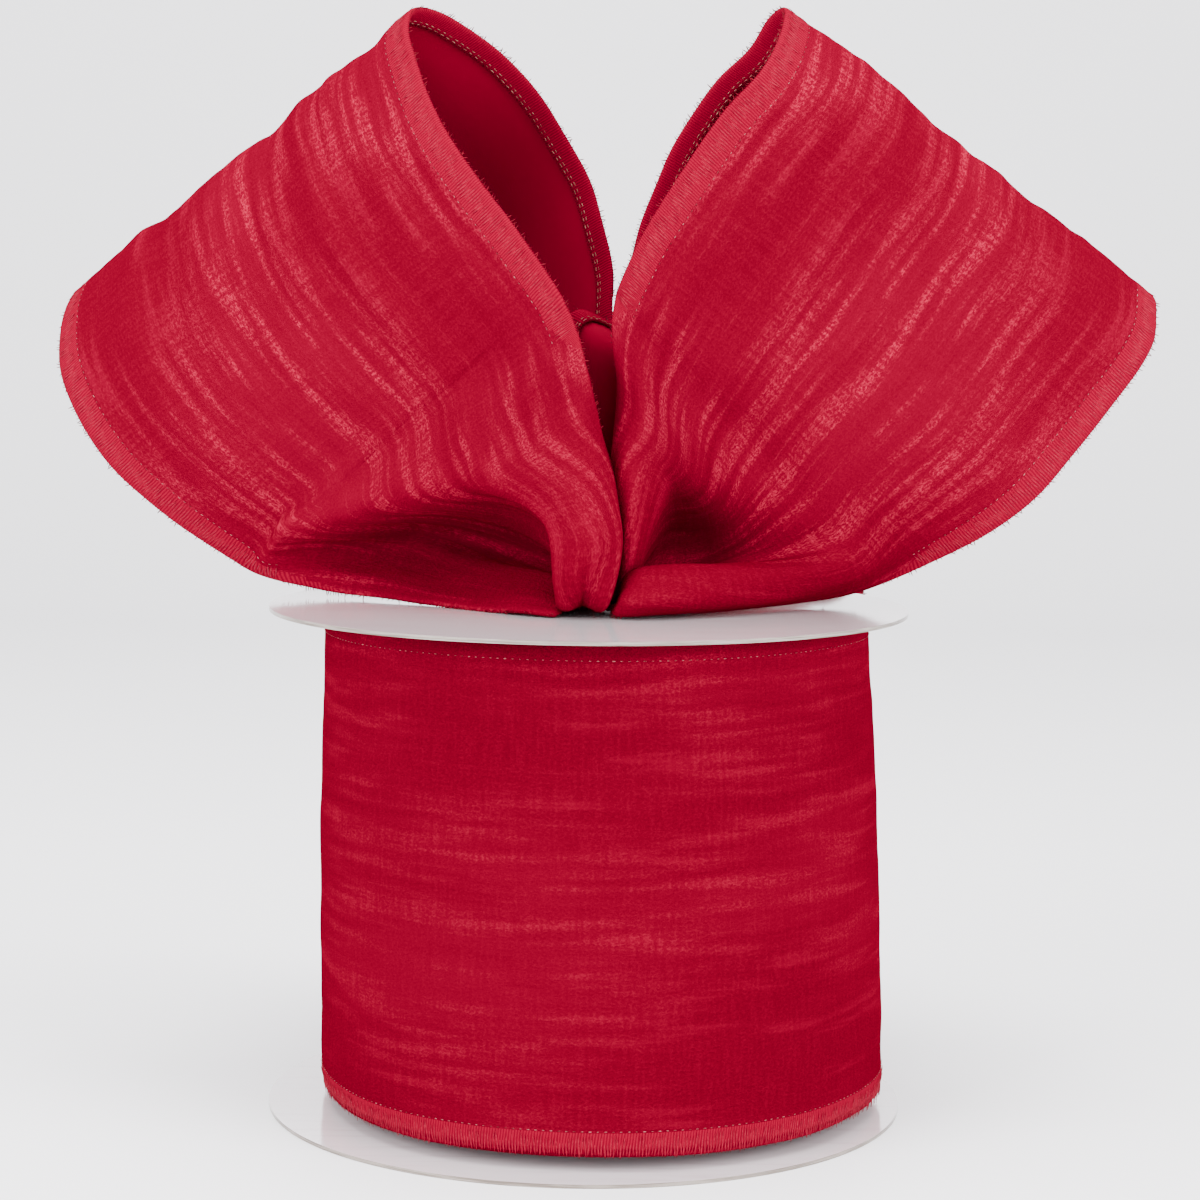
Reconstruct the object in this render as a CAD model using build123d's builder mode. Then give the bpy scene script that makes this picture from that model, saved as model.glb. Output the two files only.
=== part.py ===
"""Spool of wired velvet ribbon that carries a two-loop bow of the same ribbon.

The frame's origin is on the spool's axis, at the underside of the bottom flange.
+Z points up and the bow's front faces -Y. All sizes are in millimetres.
"""
from build123d import *
import math
import os

os.makedirs("parts", exist_ok=True)

# ---- ribbon -----------------------------------------------------------------
ribbon_width = 101.6
velvet_thickness = 0.5
satin_thickness = 0.2
wire_side = 0.3
layer_gap = 0.05
hem_width = 6.0
wire_inset = 0.3

# ---- spool ------------------------------------------------------------------
flange_radius = 66.2
flange_thickness = 0.8
hub_hole_radius = 10.0
core_radius = 22.0
core_wall = 1.5
glue_thickness = 0.2
ribbon_seat_gap = 0.3
ribbon_top_gap = 1.1

# ---- wound ribbon -----------------------------------------------------------
turn_pitch = 1.02
half_turns = 71
winding_start_gap = 0.45
end_azimuth = 148.0
end_flap_angle = 30.0
end_flap_root_gap = 0.8
end_flap_lift = 0.2

# ---- gather and tie ---------------------------------------------------------
gather_radius = 8.0
gather_depth = 9.0
gather_height = 19.0
gather_waist = 1.0
gather_crown_round = 5.0
tie_thickness = 0.5
tie_width = 3.0
tie_strip_width = 4.0
tie_clearance = 0.3
tie_drop = 5.0
tie_fold_drop = 6.0
tie_leg_length = 20.0
tie_leg_spread = 1.6

# ---- bow --------------------------------------------------------------------
pinch_height = 2.4
loop_fan_length = 66.0
loop_middle_gap = 4.0
bow_flange_gap = 0.4
bow_gather_gap = 0.4
loop_station_count = 17
stations_per_loft = 3
tail_reach = 75.0
tail_fan_length = 48.0
tail_lean = 7.0
tail_rise = 2.6
tail_station_count = 7

# ---- heights that follow ----------------------------------------------------
ribbon_bottom = flange_thickness + ribbon_seat_gap
core_length = ribbon_width + ribbon_seat_gap + ribbon_top_gap
top_flange_bottom = flange_thickness + core_length
spool_top = top_flange_bottom + flange_thickness
winding_radius = core_radius + winding_start_gap
last_turn_radius = winding_radius + (half_turns - 1) * turn_pitch / 2

# The layers of one ribbon, measured outwards from the velvet's back.
velvet_layer = (0.0, velvet_thickness)
satin_layer = (-layer_gap - satin_thickness, -layer_gap)
wire_layer = (-layer_gap - wire_side, -layer_gap)


# ---- spool ------------------------------------------------------------------
with BuildPart() as bottom_flange:
    with BuildSketch(Plane.XY):
        Circle(flange_radius)
        Circle(hub_hole_radius, mode=Mode.SUBTRACT)
    extrude(amount=flange_thickness)
bottom_flange.part.label = "bottom_flange"
export_step(bottom_flange.part, "parts/bottom_flange.step")

with BuildPart() as top_flange:
    with BuildSketch(Plane.XY.offset(top_flange_bottom)):
        Circle(flange_radius)
        Circle(hub_hole_radius, mode=Mode.SUBTRACT)
    extrude(amount=flange_thickness)
top_flange.part.label = "top_flange"
export_step(top_flange.part, "parts/top_flange.step")

with BuildPart() as core_tube:
    with BuildSketch(Plane.XY.offset(flange_thickness + glue_thickness)):
        Circle(core_radius)
        Circle(core_radius - core_wall, mode=Mode.SUBTRACT)
    extrude(amount=core_length - 2 * glue_thickness)
core_tube.part.label = "core_tube"
export_step(core_tube.part, "parts/core_tube.step")

# A bead of glue joins each end of the tube to its flange.
glue_bottoms = {
    "bottom_glue_ring": flange_thickness,
    "top_glue_ring": top_flange_bottom - glue_thickness,
}
for name, height in glue_bottoms.items():
    with BuildPart() as glue_ring:
        with BuildSketch(Plane.XY.offset(height)):
            Circle(core_radius)
            Circle(core_radius - core_wall, mode=Mode.SUBTRACT)
        extrude(amount=glue_thickness)
    glue_ring.part.label = name
    export_step(glue_ring.part, f"parts/{name}.step")


# ---- wound ribbon -----------------------------------------------------------
def strip_heights(width):
    """Lowest and highest edge of each layer of an upright ribbon."""
    low, high = ribbon_bottom, ribbon_bottom + width
    return {
        "velvet": (velvet_layer, low, high),
        "satin": (satin_layer, low + hem_width, high - hem_width),
        "bottom_wire": (wire_layer, low + wire_inset, low + wire_inset + wire_side),
        "top_wire": (wire_layer, high - wire_inset - wire_side, high - wire_inset),
    }


def winding_plane(height):
    """Level plane whose x axis points at the end of the last full turn."""
    azimuth = math.radians(end_azimuth)
    return Plane(
        origin=(0, 0, height),
        x_dir=(math.cos(azimuth), math.sin(azimuth), 0),
        z_dir=(0, 0, 1),
    )


# The turns are half circles on two centres, half a pitch apart.
for layer_name, (layer, low, high) in strip_heights(ribbon_width).items():
    with BuildPart() as wound_strip:
        with BuildSketch(winding_plane(low)):
            with BuildLine():
                for half_turn in range(half_turns):
                    turns_back = half_turn % 2
                    centre = (-turns_back * turn_pitch / 2, 0)
                    start_angle = 180 * (1 - turns_back)
                    radius = winding_radius + half_turn * turn_pitch / 2
                    CenterArc(centre, radius + layer[0], start_angle, 180)
                    CenterArc(centre, radius + layer[1], start_angle, 180)
                Line((-winding_radius - layer[0], 0), (-winding_radius - layer[1], 0))
                Line((last_turn_radius + layer[0], 0), (last_turn_radius + layer[1], 0))
            make_face()
        extrude(amount=high - low)
    wound_strip.part.label = f"wound_{layer_name}"
    export_step(wound_strip.part, f"parts/wound_{layer_name}.step")

# The free end is the next stretch of the same spiral, and peels from the turn below.
end_flap_radius = last_turn_radius + turn_pitch / 2 + end_flap_lift
end_flap_start = math.degrees(end_flap_root_gap / end_flap_radius)
end_flap_centre = (-turn_pitch / 2, 0)
for layer_name, (layer, low, high) in strip_heights(ribbon_width).items():
    with BuildPart() as end_strip:
        with BuildSketch(winding_plane(low)):
            with BuildLine():
                outer_arc = CenterArc(
                    end_flap_centre, end_flap_radius + layer[1], end_flap_start, end_flap_angle
                )
                inner_arc = CenterArc(
                    end_flap_centre, end_flap_radius + layer[0], end_flap_start, end_flap_angle
                )
                Line(inner_arc @ 0, outer_arc @ 0)
                Line(inner_arc @ 1, outer_arc @ 1)
            make_face()
        extrude(amount=high - low)
    end_strip.part.label = f"ribbon_end_{layer_name}"
    export_step(end_strip.part, f"parts/ribbon_end_{layer_name}.step")


# ---- gather and tie ---------------------------------------------------------
# The pinched ribbon goes down through the hub hole, with a waist where the tie grips it.
waist_height = spool_top - tie_drop
waist_radius = gather_radius - gather_waist
gather_foot = spool_top - gather_depth
gather_crown = spool_top + gather_height
with BuildPart() as gather:
    with BuildSketch(Plane.XZ):
        Polygon(
            (0, gather_foot),
            (waist_radius, gather_foot),
            (waist_radius, waist_height + tie_width / 2),
            (gather_radius, spool_top),
            (gather_radius, gather_crown),
            (0, gather_crown),
            align=None,
        )
    revolve(axis=Axis.Z)
    fillet(gather.edges().sort_by(Axis.Z)[-1], gather_crown_round)
gather.part.label = "gather"
export_step(gather.part, "parts/gather.step")

# The tie is a flat strip: a ring round the waist, and two ends turned down the core.
tie_inner_radius = waist_radius + tie_clearance
tie_outer_radius = tie_inner_radius + tie_thickness
tie_elbow = waist_height - tie_width / 2 - tie_fold_drop
with BuildPart() as twist_tie:
    with BuildSketch(Plane.XY.offset(waist_height - tie_width / 2)):
        Circle(tie_outer_radius)
        Circle(tie_inner_radius, mode=Mode.SUBTRACT)
    extrude(amount=tie_width)
    with BuildSketch(Plane.XZ):
        for side in (-1, 1):
            with BuildLine():
                FilletPolyline(
                    (side * (tie_outer_radius - tie_thickness / 2), waist_height),
                    (side * (tie_outer_radius - tie_thickness / 2), tie_elbow),
                    (side * tie_leg_spread / 2, tie_elbow - tie_fold_drop),
                    (side * tie_leg_spread / 2, tie_elbow - tie_fold_drop - tie_leg_length),
                    radius=3 * tie_thickness,
                )
            trace(line_width=tie_thickness)
    extrude(amount=tie_strip_width / 2, both=True)
twist_tie.part.label = "twist_tie"
export_step(twist_tie.part, "parts/twist_tie.step")


# ---- bow --------------------------------------------------------------------
def widened(distance, full_length):
    """Half width of a ribbon that fans out from the pinch."""
    return ribbon_width / 2 * math.sin(math.pi / 2 * min(1.0, distance / full_length))


def export_ribbon(name, stations, outward):
    """Write the velvet, the lining and the two edge wires of one stretch of ribbon.

    Each station is a plane across the ribbon with the two ends of its width, and outward
    is the side of the plane's y axis that the velvet is on. The lofts are short, because the
    ribbon turns right over in a loop.
    """
    hem_share = hem_width / ribbon_width
    spans = {
        "velvet": (velvet_layer, lambda low, high: (low, high)),
        "satin": (
            satin_layer,
            lambda low, high: (low + hem_share * (high - low), high - hem_share * (high - low)),
        ),
        "outer_wire": (wire_layer, lambda low, high: (low + wire_inset, low + wire_inset + wire_side)),
        "inner_wire": (wire_layer, lambda low, high: (high - wire_inset - wire_side, high - wire_inset)),
    }
    for layer_name, (layer, span) in spans.items():
        with BuildPart() as stretch:
            for first in range(0, len(stations) - 1, stations_per_loft - 1):
                for plane, low, high in stations[first:first + stations_per_loft]:
                    left, right = span(low, high)
                    with BuildSketch(plane):
                        with Locations(((left + right) / 2, outward * (layer[0] + layer[1]) / 2)):
                            Rectangle(right - left, layer[1] - layer[0])
                loft()
        stretch.part.label = f"{name}_{layer_name}"
        export_step(stretch.part, f"parts/{name}_{layer_name}.step")


def loop_stations(side, length, width_axis, lengthways, front_bulge, back_bulge, lean):
    """Planes across one loop, from the front of the pinch over the far fold to its back.

    side is -1 for the left loop and 1 for the right one. width_axis points at the end of the
    width that is next to the other loop, and lengthways from the pinch to the far fold. The
    ribbon starts and ends where it leaves the gather.
    """
    width_axis = Vector(*width_axis).normalized()
    lengthways = Vector(*lengthways)
    lengthways = (lengthways - width_axis * lengthways.dot(width_axis)).normalized()
    forwards = lengthways.cross(width_axis) * side
    pinch = Vector(0, 0, spool_top + pinch_height)
    lowest = spool_top + bow_flange_gap + satin_thickness + layer_gap + velvet_thickness

    def station(turn):
        bulge = front_bulge if turn < math.pi else back_bulge
        along = length * (1 - math.cos(turn)) / 2
        out = bulge * math.sin(turn) * math.sin(turn / 2) + lean * (along / length) ** 2
        along_rate = length * math.sin(turn) / 2
        out_rate = (
            bulge * (math.cos(turn) * math.sin(turn / 2) + math.sin(turn) * math.cos(turn / 2) / 2)
            + 2 * lean * along / length ** 2 * along_rate
        )
        centre = pinch + lengthways * along + forwards * out
        tangent = (lengthways * along_rate + forwards * out_rate).normalized()
        half_width = widened(along, loop_fan_length)
        to_middle = (side * loop_middle_gap - centre.X) / width_axis.X
        to_flange = (centre.Z - lowest) / width_axis.Z
        plane = Plane(origin=centre, x_dir=width_axis, z_dir=tangent)
        return plane, -min(half_width, to_flange), min(half_width, to_middle)

    def leaves_gather(turn):
        plane, low, high = station(turn)
        across = [plane.origin + width_axis * (low + (high - low) * step / 8) for step in range(9)]
        reach = min(math.hypot(point.X, point.Y) for point in across)
        return reach > gather_radius + bow_gather_gap + layer_gap

    step = math.radians(0.1)
    first, last = math.radians(10), math.radians(350)
    while not leaves_gather(first):
        first += step
    while not leaves_gather(last):
        last -= step
    steps = loop_station_count - 1
    return [station(first + (last - first) * index / steps) for index in range(loop_station_count)]


left_stations = loop_stations(
    side=-1, length=116.0, width_axis=(0.69, -0.367, 0.624), lengthways=(-0.644, 0.08, 0.760),
    front_bulge=38.0, back_bulge=33.0, lean=-13.0,
)
export_ribbon("left_loop", left_stations, outward=-1)

right_stations = loop_stations(
    side=1, length=117.0, width_axis=(-0.766, -0.229, 0.600), lengthways=(0.626, -0.05, 0.780),
    front_bulge=27.0, back_bulge=15.0, lean=3.0,
)
export_ribbon("right_loop", right_stations, outward=1)


def tail_stations():
    """Planes across the tail, which lies back over the top flange and just past its rim."""
    lean = math.radians(tail_lean)
    under_velvet = spool_top + bow_flange_gap + satin_thickness + layer_gap
    first_reach = gather_radius + bow_gather_gap
    stations = []
    for index in range(tail_station_count):
        reach = first_reach + (tail_reach - first_reach) * index / (tail_station_count - 1)
        height = under_velvet + wire_side + tail_rise * (reach / tail_reach) ** 2
        slope = 2 * tail_rise * reach / tail_reach ** 2
        tangent = Vector(math.sin(lean), math.cos(lean), slope).normalized()
        plane = Plane(
            origin=(reach * math.sin(lean), reach * math.cos(lean), height),
            x_dir=(math.cos(lean), -math.sin(lean), 0),
            z_dir=tangent,
        )
        half_width = widened(reach, tail_fan_length)
        stations.append((plane, -half_width, half_width))
    return stations


export_ribbon("tail", tail_stations(), outward=-1)
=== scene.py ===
"""Spool of wired crushed-velvet ribbon with a loose two-loop bow standing in its top flange.

The CAD frame gives the bodies, the joints and every size that the pieces have to keep. The classes
below shape the ribbon from a few ribs across it, sew its hems, and dress the card spool.
Shapes are worked out in millimetres in the frame's axes, and become metres in the meshes.
"""

import copy
import logging
import math
from dataclasses import dataclass
from enum import Enum
from typing import Iterable, Optional, Sequence

import bpy
import numpy as np
from mathutils import Matrix, Vector


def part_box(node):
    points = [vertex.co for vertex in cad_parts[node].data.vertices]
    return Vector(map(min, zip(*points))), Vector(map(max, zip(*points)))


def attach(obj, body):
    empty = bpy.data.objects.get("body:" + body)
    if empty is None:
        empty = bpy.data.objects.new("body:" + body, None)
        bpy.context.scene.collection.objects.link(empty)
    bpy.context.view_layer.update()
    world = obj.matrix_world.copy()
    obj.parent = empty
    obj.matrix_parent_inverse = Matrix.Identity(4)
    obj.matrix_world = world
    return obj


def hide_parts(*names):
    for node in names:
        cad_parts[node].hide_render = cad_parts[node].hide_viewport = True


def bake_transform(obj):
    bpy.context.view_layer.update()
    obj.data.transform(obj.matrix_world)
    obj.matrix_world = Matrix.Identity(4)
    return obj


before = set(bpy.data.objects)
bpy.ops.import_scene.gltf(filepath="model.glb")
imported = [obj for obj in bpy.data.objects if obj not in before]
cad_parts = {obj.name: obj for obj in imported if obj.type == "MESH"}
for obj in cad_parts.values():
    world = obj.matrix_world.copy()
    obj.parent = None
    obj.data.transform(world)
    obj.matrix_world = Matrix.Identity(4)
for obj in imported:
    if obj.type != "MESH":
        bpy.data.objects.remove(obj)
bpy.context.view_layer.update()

log = logging.getLogger("gift_bow")

MM = 0.001
Point = tuple[float, float, float]
Colour = tuple[float, float, float, float]


# ---- the ribbon's own sizes -------------------------------------------------
@dataclass(frozen=True)
class RibbonCut:
    """Sizes of the ribbon across its width, in millimetres.

    Attributes:
        width: Finished width.
        velvet: Height of the velvet's face over the ribbon's middle.
        satin: Thickness of the lining.
        wire: Diameter of the wires in the hems.
        wire_in: Distance of a wire's centre from its edge.
        hem: Width of the hem that shows on the velvet side.
        turned_in: Width of the velvet that is turned under at each edge.
        lining_in: Distance of the lining's edge from the ribbon's edge.
    """

    width: float = 101.6
    velvet: float = 0.5
    satin: float = 0.2
    wire: float = 0.3
    wire_in: float = 1.25
    hem: float = 6.0
    turned_in: float = 4.8
    lining_in: float = 3.0


CUT = RibbonCut()


class Edge(Enum):
    """The two long edges of a ribbon, by the direction from the edge into the cloth."""

    FIRST = 1
    LAST = -1

    def inward(self, distance: float) -> float:
        """Place across the ribbon that is so far in from this edge, in millimetres."""
        return distance if self is Edge.FIRST else CUT.width - distance


class Side(Enum):
    """The two loops of the bow, by the names of their bodies."""

    LEFT = "left_loop"
    RIGHT = "right_loop"


class Grain(Enum):
    """The ways a seam's threads can lie."""

    ALONG = "along the ribbon"
    ACROSS = "across it, into the cloth"
    OUT = "across it, off the edge"


# Where a hem begins to lie open to view, as a distance along the ribbon: all of it, or none of it.
OPEN_HEM = -1000.0
HIDDEN_HEM = 1000.0


# ---- node trees -------------------------------------------------------------
class Wiring:
    """A node tree under construction.

    Attributes:
        tree: The tree.
    """

    def __init__(self, tree: bpy.types.NodeTree) -> None:
        """Take up a tree to build in."""
        self.tree = tree

    def join(self, value: object, socket: bpy.types.NodeSocket) -> None:
        """Link a socket, or set a plain value on it.

        Args:
            value: Another node's output, or a value.
            socket: The input that takes it.
        """
        if isinstance(value, bpy.types.NodeSocket):
            self.tree.links.new(value, socket)
        else:
            socket.default_value = value

    def node(self, kind: str, inputs: Optional[dict] = None, **settings: object) -> bpy.types.Node:
        """Add one node.

        Args:
            kind: Blender's name of the node type.
            inputs: Values or sockets for its inputs, by name or number.
            settings: Attributes of the node.

        Returns:
            The new node.
        """
        made = self.tree.nodes.new(kind)
        for name, value in settings.items():
            setattr(made, name, value)
        for name, value in (inputs or {}).items():
            self.join(value, made.inputs[name])
        return made

    def out(self, kind: str, inputs: Optional[dict] = None, output: object = 0,
            **settings: object) -> bpy.types.NodeSocket:
        """Add one node and give one of its outputs.

        Args:
            kind: Blender's name of the node type.
            inputs: Values or sockets for its inputs, by name or number.
            output: Name or number of the output.
            settings: Attributes of the node.

        Returns:
            The output.
        """
        return self.node(kind, inputs, **settings).outputs[output]


class Shader(Wiring):
    """A material under construction, with one Principled surface.

    Attributes:
        material: The material.
        surface: Its Principled BSDF node.
    """

    def __init__(self, name: str) -> None:
        """Start a material with a bare surface.

        Args:
            name: Name of the material.
        """
        self.material = bpy.data.materials.new(name)
        self.material.use_nodes = True
        super().__init__(self.material.node_tree)
        self.surface = self.tree.nodes["Principled BSDF"]

    def set(self, **values: object) -> None:
        """Set or link inputs of the surface.

        Args:
            values: A value or socket for each input; underscores in its name stand for spaces.
        """
        for name, value in values.items():
            self.join(value, self.surface.inputs[name.replace("_", " ")])

    def cloth_place(self) -> bpy.types.NodeSocket:
        """The place on the cloth: x along the ribbon and y across it, in metres."""
        return self.out("ShaderNodeUVMap", uv_map="cloth")

    def object_place(self) -> bpy.types.NodeSocket:
        """The place in the frame, in metres."""
        return self.out("ShaderNodeTexCoord", output="Object")

    def noise(self, place: bpy.types.NodeSocket, stretch: Point, detail: float = 4.0,
              rough: float = 0.6, shift: Point = (0.0, 0.0, 0.0)) -> bpy.types.NodeSocket:
        """Noise in a stretched space.

        Args:
            place: Coordinates to read.
            stretch: How many grains there are in a metre, along each axis.
            detail: Octaves of finer noise.
            rough: Strength of the finer octaves.
            shift: Moves the pattern.

        Returns:
            The noise's value, about 0.5 on average.
        """
        mapped = self.out("ShaderNodeMapping", {"Vector": place, "Scale": stretch, "Location": shift})
        return self.out("ShaderNodeTexNoise", {"Vector": mapped, "Scale": 1.0, "Detail": detail,
                                               "Roughness": rough})

    def math(self, kind: str, first: object, second: object = 0.0,
             third: object = 0.0) -> bpy.types.NodeSocket:
        """One Math node's result."""
        return self.out("ShaderNodeMath", {0: first, 1: second, 2: third}, operation=kind)

    def ramp(self, value: bpy.types.NodeSocket, low: float, high: float, to_low: float = 0.0,
             to_high: float = 1.0) -> bpy.types.NodeSocket:
        """Map one range smoothly to another.

        Args:
            value: What is mapped.
            low: Start of its range.
            high: End of its range.
            to_low: Result at the start and before it.
            to_high: Result at the end and after it.

        Returns:
            The result.
        """
        return self.out("ShaderNodeMapRange", {"Value": value, "From Min": low, "From Max": high,
                                               "To Min": to_low, "To Max": to_high},
                        interpolation_type="SMOOTHSTEP")

    def mix(self, share: object, first: object, second: object) -> bpy.types.NodeSocket:
        """Mix two colours by a share from 0 to 1."""
        return self.out("ShaderNodeMix", {0: share, 6: first, 7: second}, 2, data_type="RGBA")

    def bump(self, height: bpy.types.NodeSocket, distance: float, strength: float = 1.0,
             under: Optional[bpy.types.NodeSocket] = None) -> bpy.types.NodeSocket:
        """Bump of the surface.

        Args:
            height: The relief, from 0 to 1.
            distance: Its full height, in metres.
            strength: How much of it is used.
            under: Another bump that it lies on.

        Returns:
            The bumped normal.
        """
        inputs = {"Height": height, "Distance": distance, "Strength": strength}
        if under is not None:
            inputs["Normal"] = under
        return self.out("ShaderNodeBump", inputs)


def rgb(red: float, green: float, blue: float) -> Colour:
    """A colour with full alpha."""
    return (red, green, blue, 1.0)


# ---- finishes ---------------------------------------------------------------
@dataclass(frozen=True)
class CrushedVelvet:
    """Velvet whose pile is crushed into streaks along the ribbon.

    Attributes:
        deep: Pile that stands up.
        crimson: Pile between the streaks.
        raised: Crests of the streaks and flecks.
        glint: Painted highlight, where brushed pile catches the light.
        hollow: Shade between tufts.
        sheen: Weight of the soft sheen.
        brushed_and_sheen: How strongly the painted sheen shows, as glint colour laid along the brushed
            streaks.
    """

    deep: Colour = rgb(0.090, 0.0, 0.0062)
    crimson: Colour = rgb(0.120, 0.0, 0.0092)
    raised: Colour = rgb(0.150, 0.0, 0.0125)
    glint: Colour = rgb(0.30, 0.008, 0.030)
    hollow: Colour = rgb(0.030, 0.0, 0.0015)
    sheen: float = 0.04
    brushed_and_sheen: float = 0.85

    def material(self, name: str = "crushed_velvet") -> bpy.types.Material:
        """Build the velvet.

        Args:
            name: Name of the material.

        Returns:
            The material.
        """
        made = Shader(name)
        place = made.cloth_place()
        # Long creases and finer threads give the lay of the pile; patches say where it is brushed and takes
        # the painted sheen.
        creases = made.noise(place, (17.0, 190.0, 1.0), 3.0, 0.55)
        threads = made.noise(place, (48.0, 460.0, 1.0), 2.0, 0.5, (3.1, 0.7, 0.0))
        patches = made.noise(place, (14.0, 30.0, 1.0), 2.0, 0.5, (7.3, 2.2, 0.0))
        pile = made.noise(place, (1500.0, 2100.0, 1.0), 2.0, 0.75)
        weft = made.noise(place, (1150.0, 120.0, 1.0), 1.0, 0.5, (1.3, 4.1, 0.0))
        lay = made.math("MULTIPLY_ADD", threads, 0.45, made.math("MULTIPLY", creases, 0.55))
        grain = made.math("MULTIPLY_ADD", weft, 0.25, made.math("MULTIPLY", pile, 0.75))
        tone = made.math("MULTIPLY_ADD", lay, 0.5, made.math("MULTIPLY", patches, 0.5))
        # Body colour, then its flecks, then painted sheen: glint colour speckled over both along the brushed
        # streaks.
        body = made.mix(made.ramp(tone, 0.40, 0.60), self.deep, self.crimson)
        body = made.mix(made.ramp(lay, 0.54, 0.66, 0.0, 0.5), body, self.raised)
        fleck = made.ramp(grain, 0.44, 0.64)
        body = made.mix(made.math("MULTIPLY", fleck, 0.35), made.mix(0.15, body, self.hollow), self.raised)
        brushed_and_sheen = made.math("MULTIPLY", made.ramp(lay, 0.47, 0.60), made.ramp(patches, 0.36, 0.60, 0.15, 1.0))
        painted_glint_specks = made.math("MULTIPLY", brushed_and_sheen, fleck)
        colour = made.mix(made.math("MULTIPLY", painted_glint_specks, self.brushed_and_sheen), body, self.glint)
        under = made.bump(lay, 0.0010, 0.6)
        normal = made.bump(grain, 0.00045, 1.0, under)
        made.set(Base_Color=colour, Roughness=0.8, Normal=normal, Specular_IOR_Level=0.0)
        made.set(Sheen_Weight=self.sheen, Sheen_Roughness=0.38, Sheen_Tint=rgb(1.0, 0.0, 0.05))
        return made.material


@dataclass(frozen=True)
class SatinLining:
    """Smooth lining with a fine weave.

    Attributes:
        dark: Its darker clouds.
        light: Its lighter clouds.
    """

    dark: Colour = rgb(0.125, 0.0, 0.0085)
    light: Colour = rgb(0.170, 0.0, 0.0130)

    def material(self, name: str = "satin_lining") -> bpy.types.Material:
        """Build the satin.

        Args:
            name: Name of the material.

        Returns:
            The material.
        """
        made = Shader(name)
        place = made.cloth_place()
        cloud = made.noise(place, (9.0, 14.0, 1.0), 2.0)
        weave = made.noise(place, (300.0, 3600.0, 1.0), 1.0)
        made.set(Base_Color=made.mix(made.ramp(cloud, 0.35, 0.65), self.dark, self.light))
        made.set(Roughness=0.5, Specular_IOR_Level=0.0, Normal=made.bump(weave, 0.00006, 0.4))
        made.set(Sheen_Weight=0.05, Sheen_Roughness=0.4, Sheen_Tint=rgb(1.0, 0.02, 0.06))
        return made.material


@dataclass(frozen=True)
class OverlockedHem:
    """Hem of the velvet under its overlock threads.

    Attributes:
        groove: Between two threads.
        thread: On a thread.
        pitch: Distance between two threads, in millimetres.
        slant: How far the threads lean, in radians.
    """

    groove: Colour = rgb(0.105, 0.0, 0.0080)
    thread: Colour = rgb(0.165, 0.0005, 0.0125)
    pitch: float = 0.55
    slant: float = 0.12

    def material(self, name: str = "overlocked_hem") -> bpy.types.Material:
        """Build the hem's cloth.

        Args:
            name: Name of the material.

        Returns:
            The material.
        """
        made = Shader(name)
        place = made.cloth_place()
        slanted = made.out("ShaderNodeMapping", {"Vector": place, "Rotation": (0.0, 0.0, self.slant)})
        # A wave texture at scale 1 has a band every 0.314 of a unit.
        wave = made.out("ShaderNodeTexWave", {"Vector": slanted, "Scale": 0.314 / (self.pitch * MM),
                                              "Distortion": 1.2, "Detail": 2.0, "Detail Scale": 0.6}, 1)
        fuzz = made.noise(place, (1800.0, 1800.0, 1.0), 2.0)
        tone = made.math("MULTIPLY_ADD", fuzz, 0.35, made.math("MULTIPLY", wave, 0.65))
        made.set(Base_Color=made.mix(made.ramp(tone, 0.2, 0.75), self.groove, self.thread))
        under = made.bump(wave, 0.00012, 0.6)
        made.set(Roughness=0.8, Specular_IOR_Level=0.0, Normal=made.bump(fuzz, 0.00012, 0.5, under))
        made.set(Sheen_Weight=0.03, Sheen_Roughness=0.5, Sheen_Tint=rgb(1.0, 0.1, 0.15))
        return made.material


@dataclass(frozen=True)
class Yarn:
    """Sewing thread or loose fibres.

    Attributes:
        name: Name of the material.
        colour: Its main colour.
        shade: Its colour between the plies.
    """

    name: str
    colour: Colour
    shade: Colour

    def material(self) -> bpy.types.Material:
        """Build the yarn.

        Returns:
            The material.
        """
        made = Shader(self.name)
        place = made.object_place()
        ply = made.noise(place, (1500.0, 1500.0, 1500.0), 2.0)
        made.set(Base_Color=made.mix(made.ramp(ply, 0.35, 0.65), self.shade, self.colour))
        made.set(Roughness=0.7, Specular_IOR_Level=0.08, Normal=made.bump(ply, 0.00008, 0.5))
        return made.material


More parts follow.
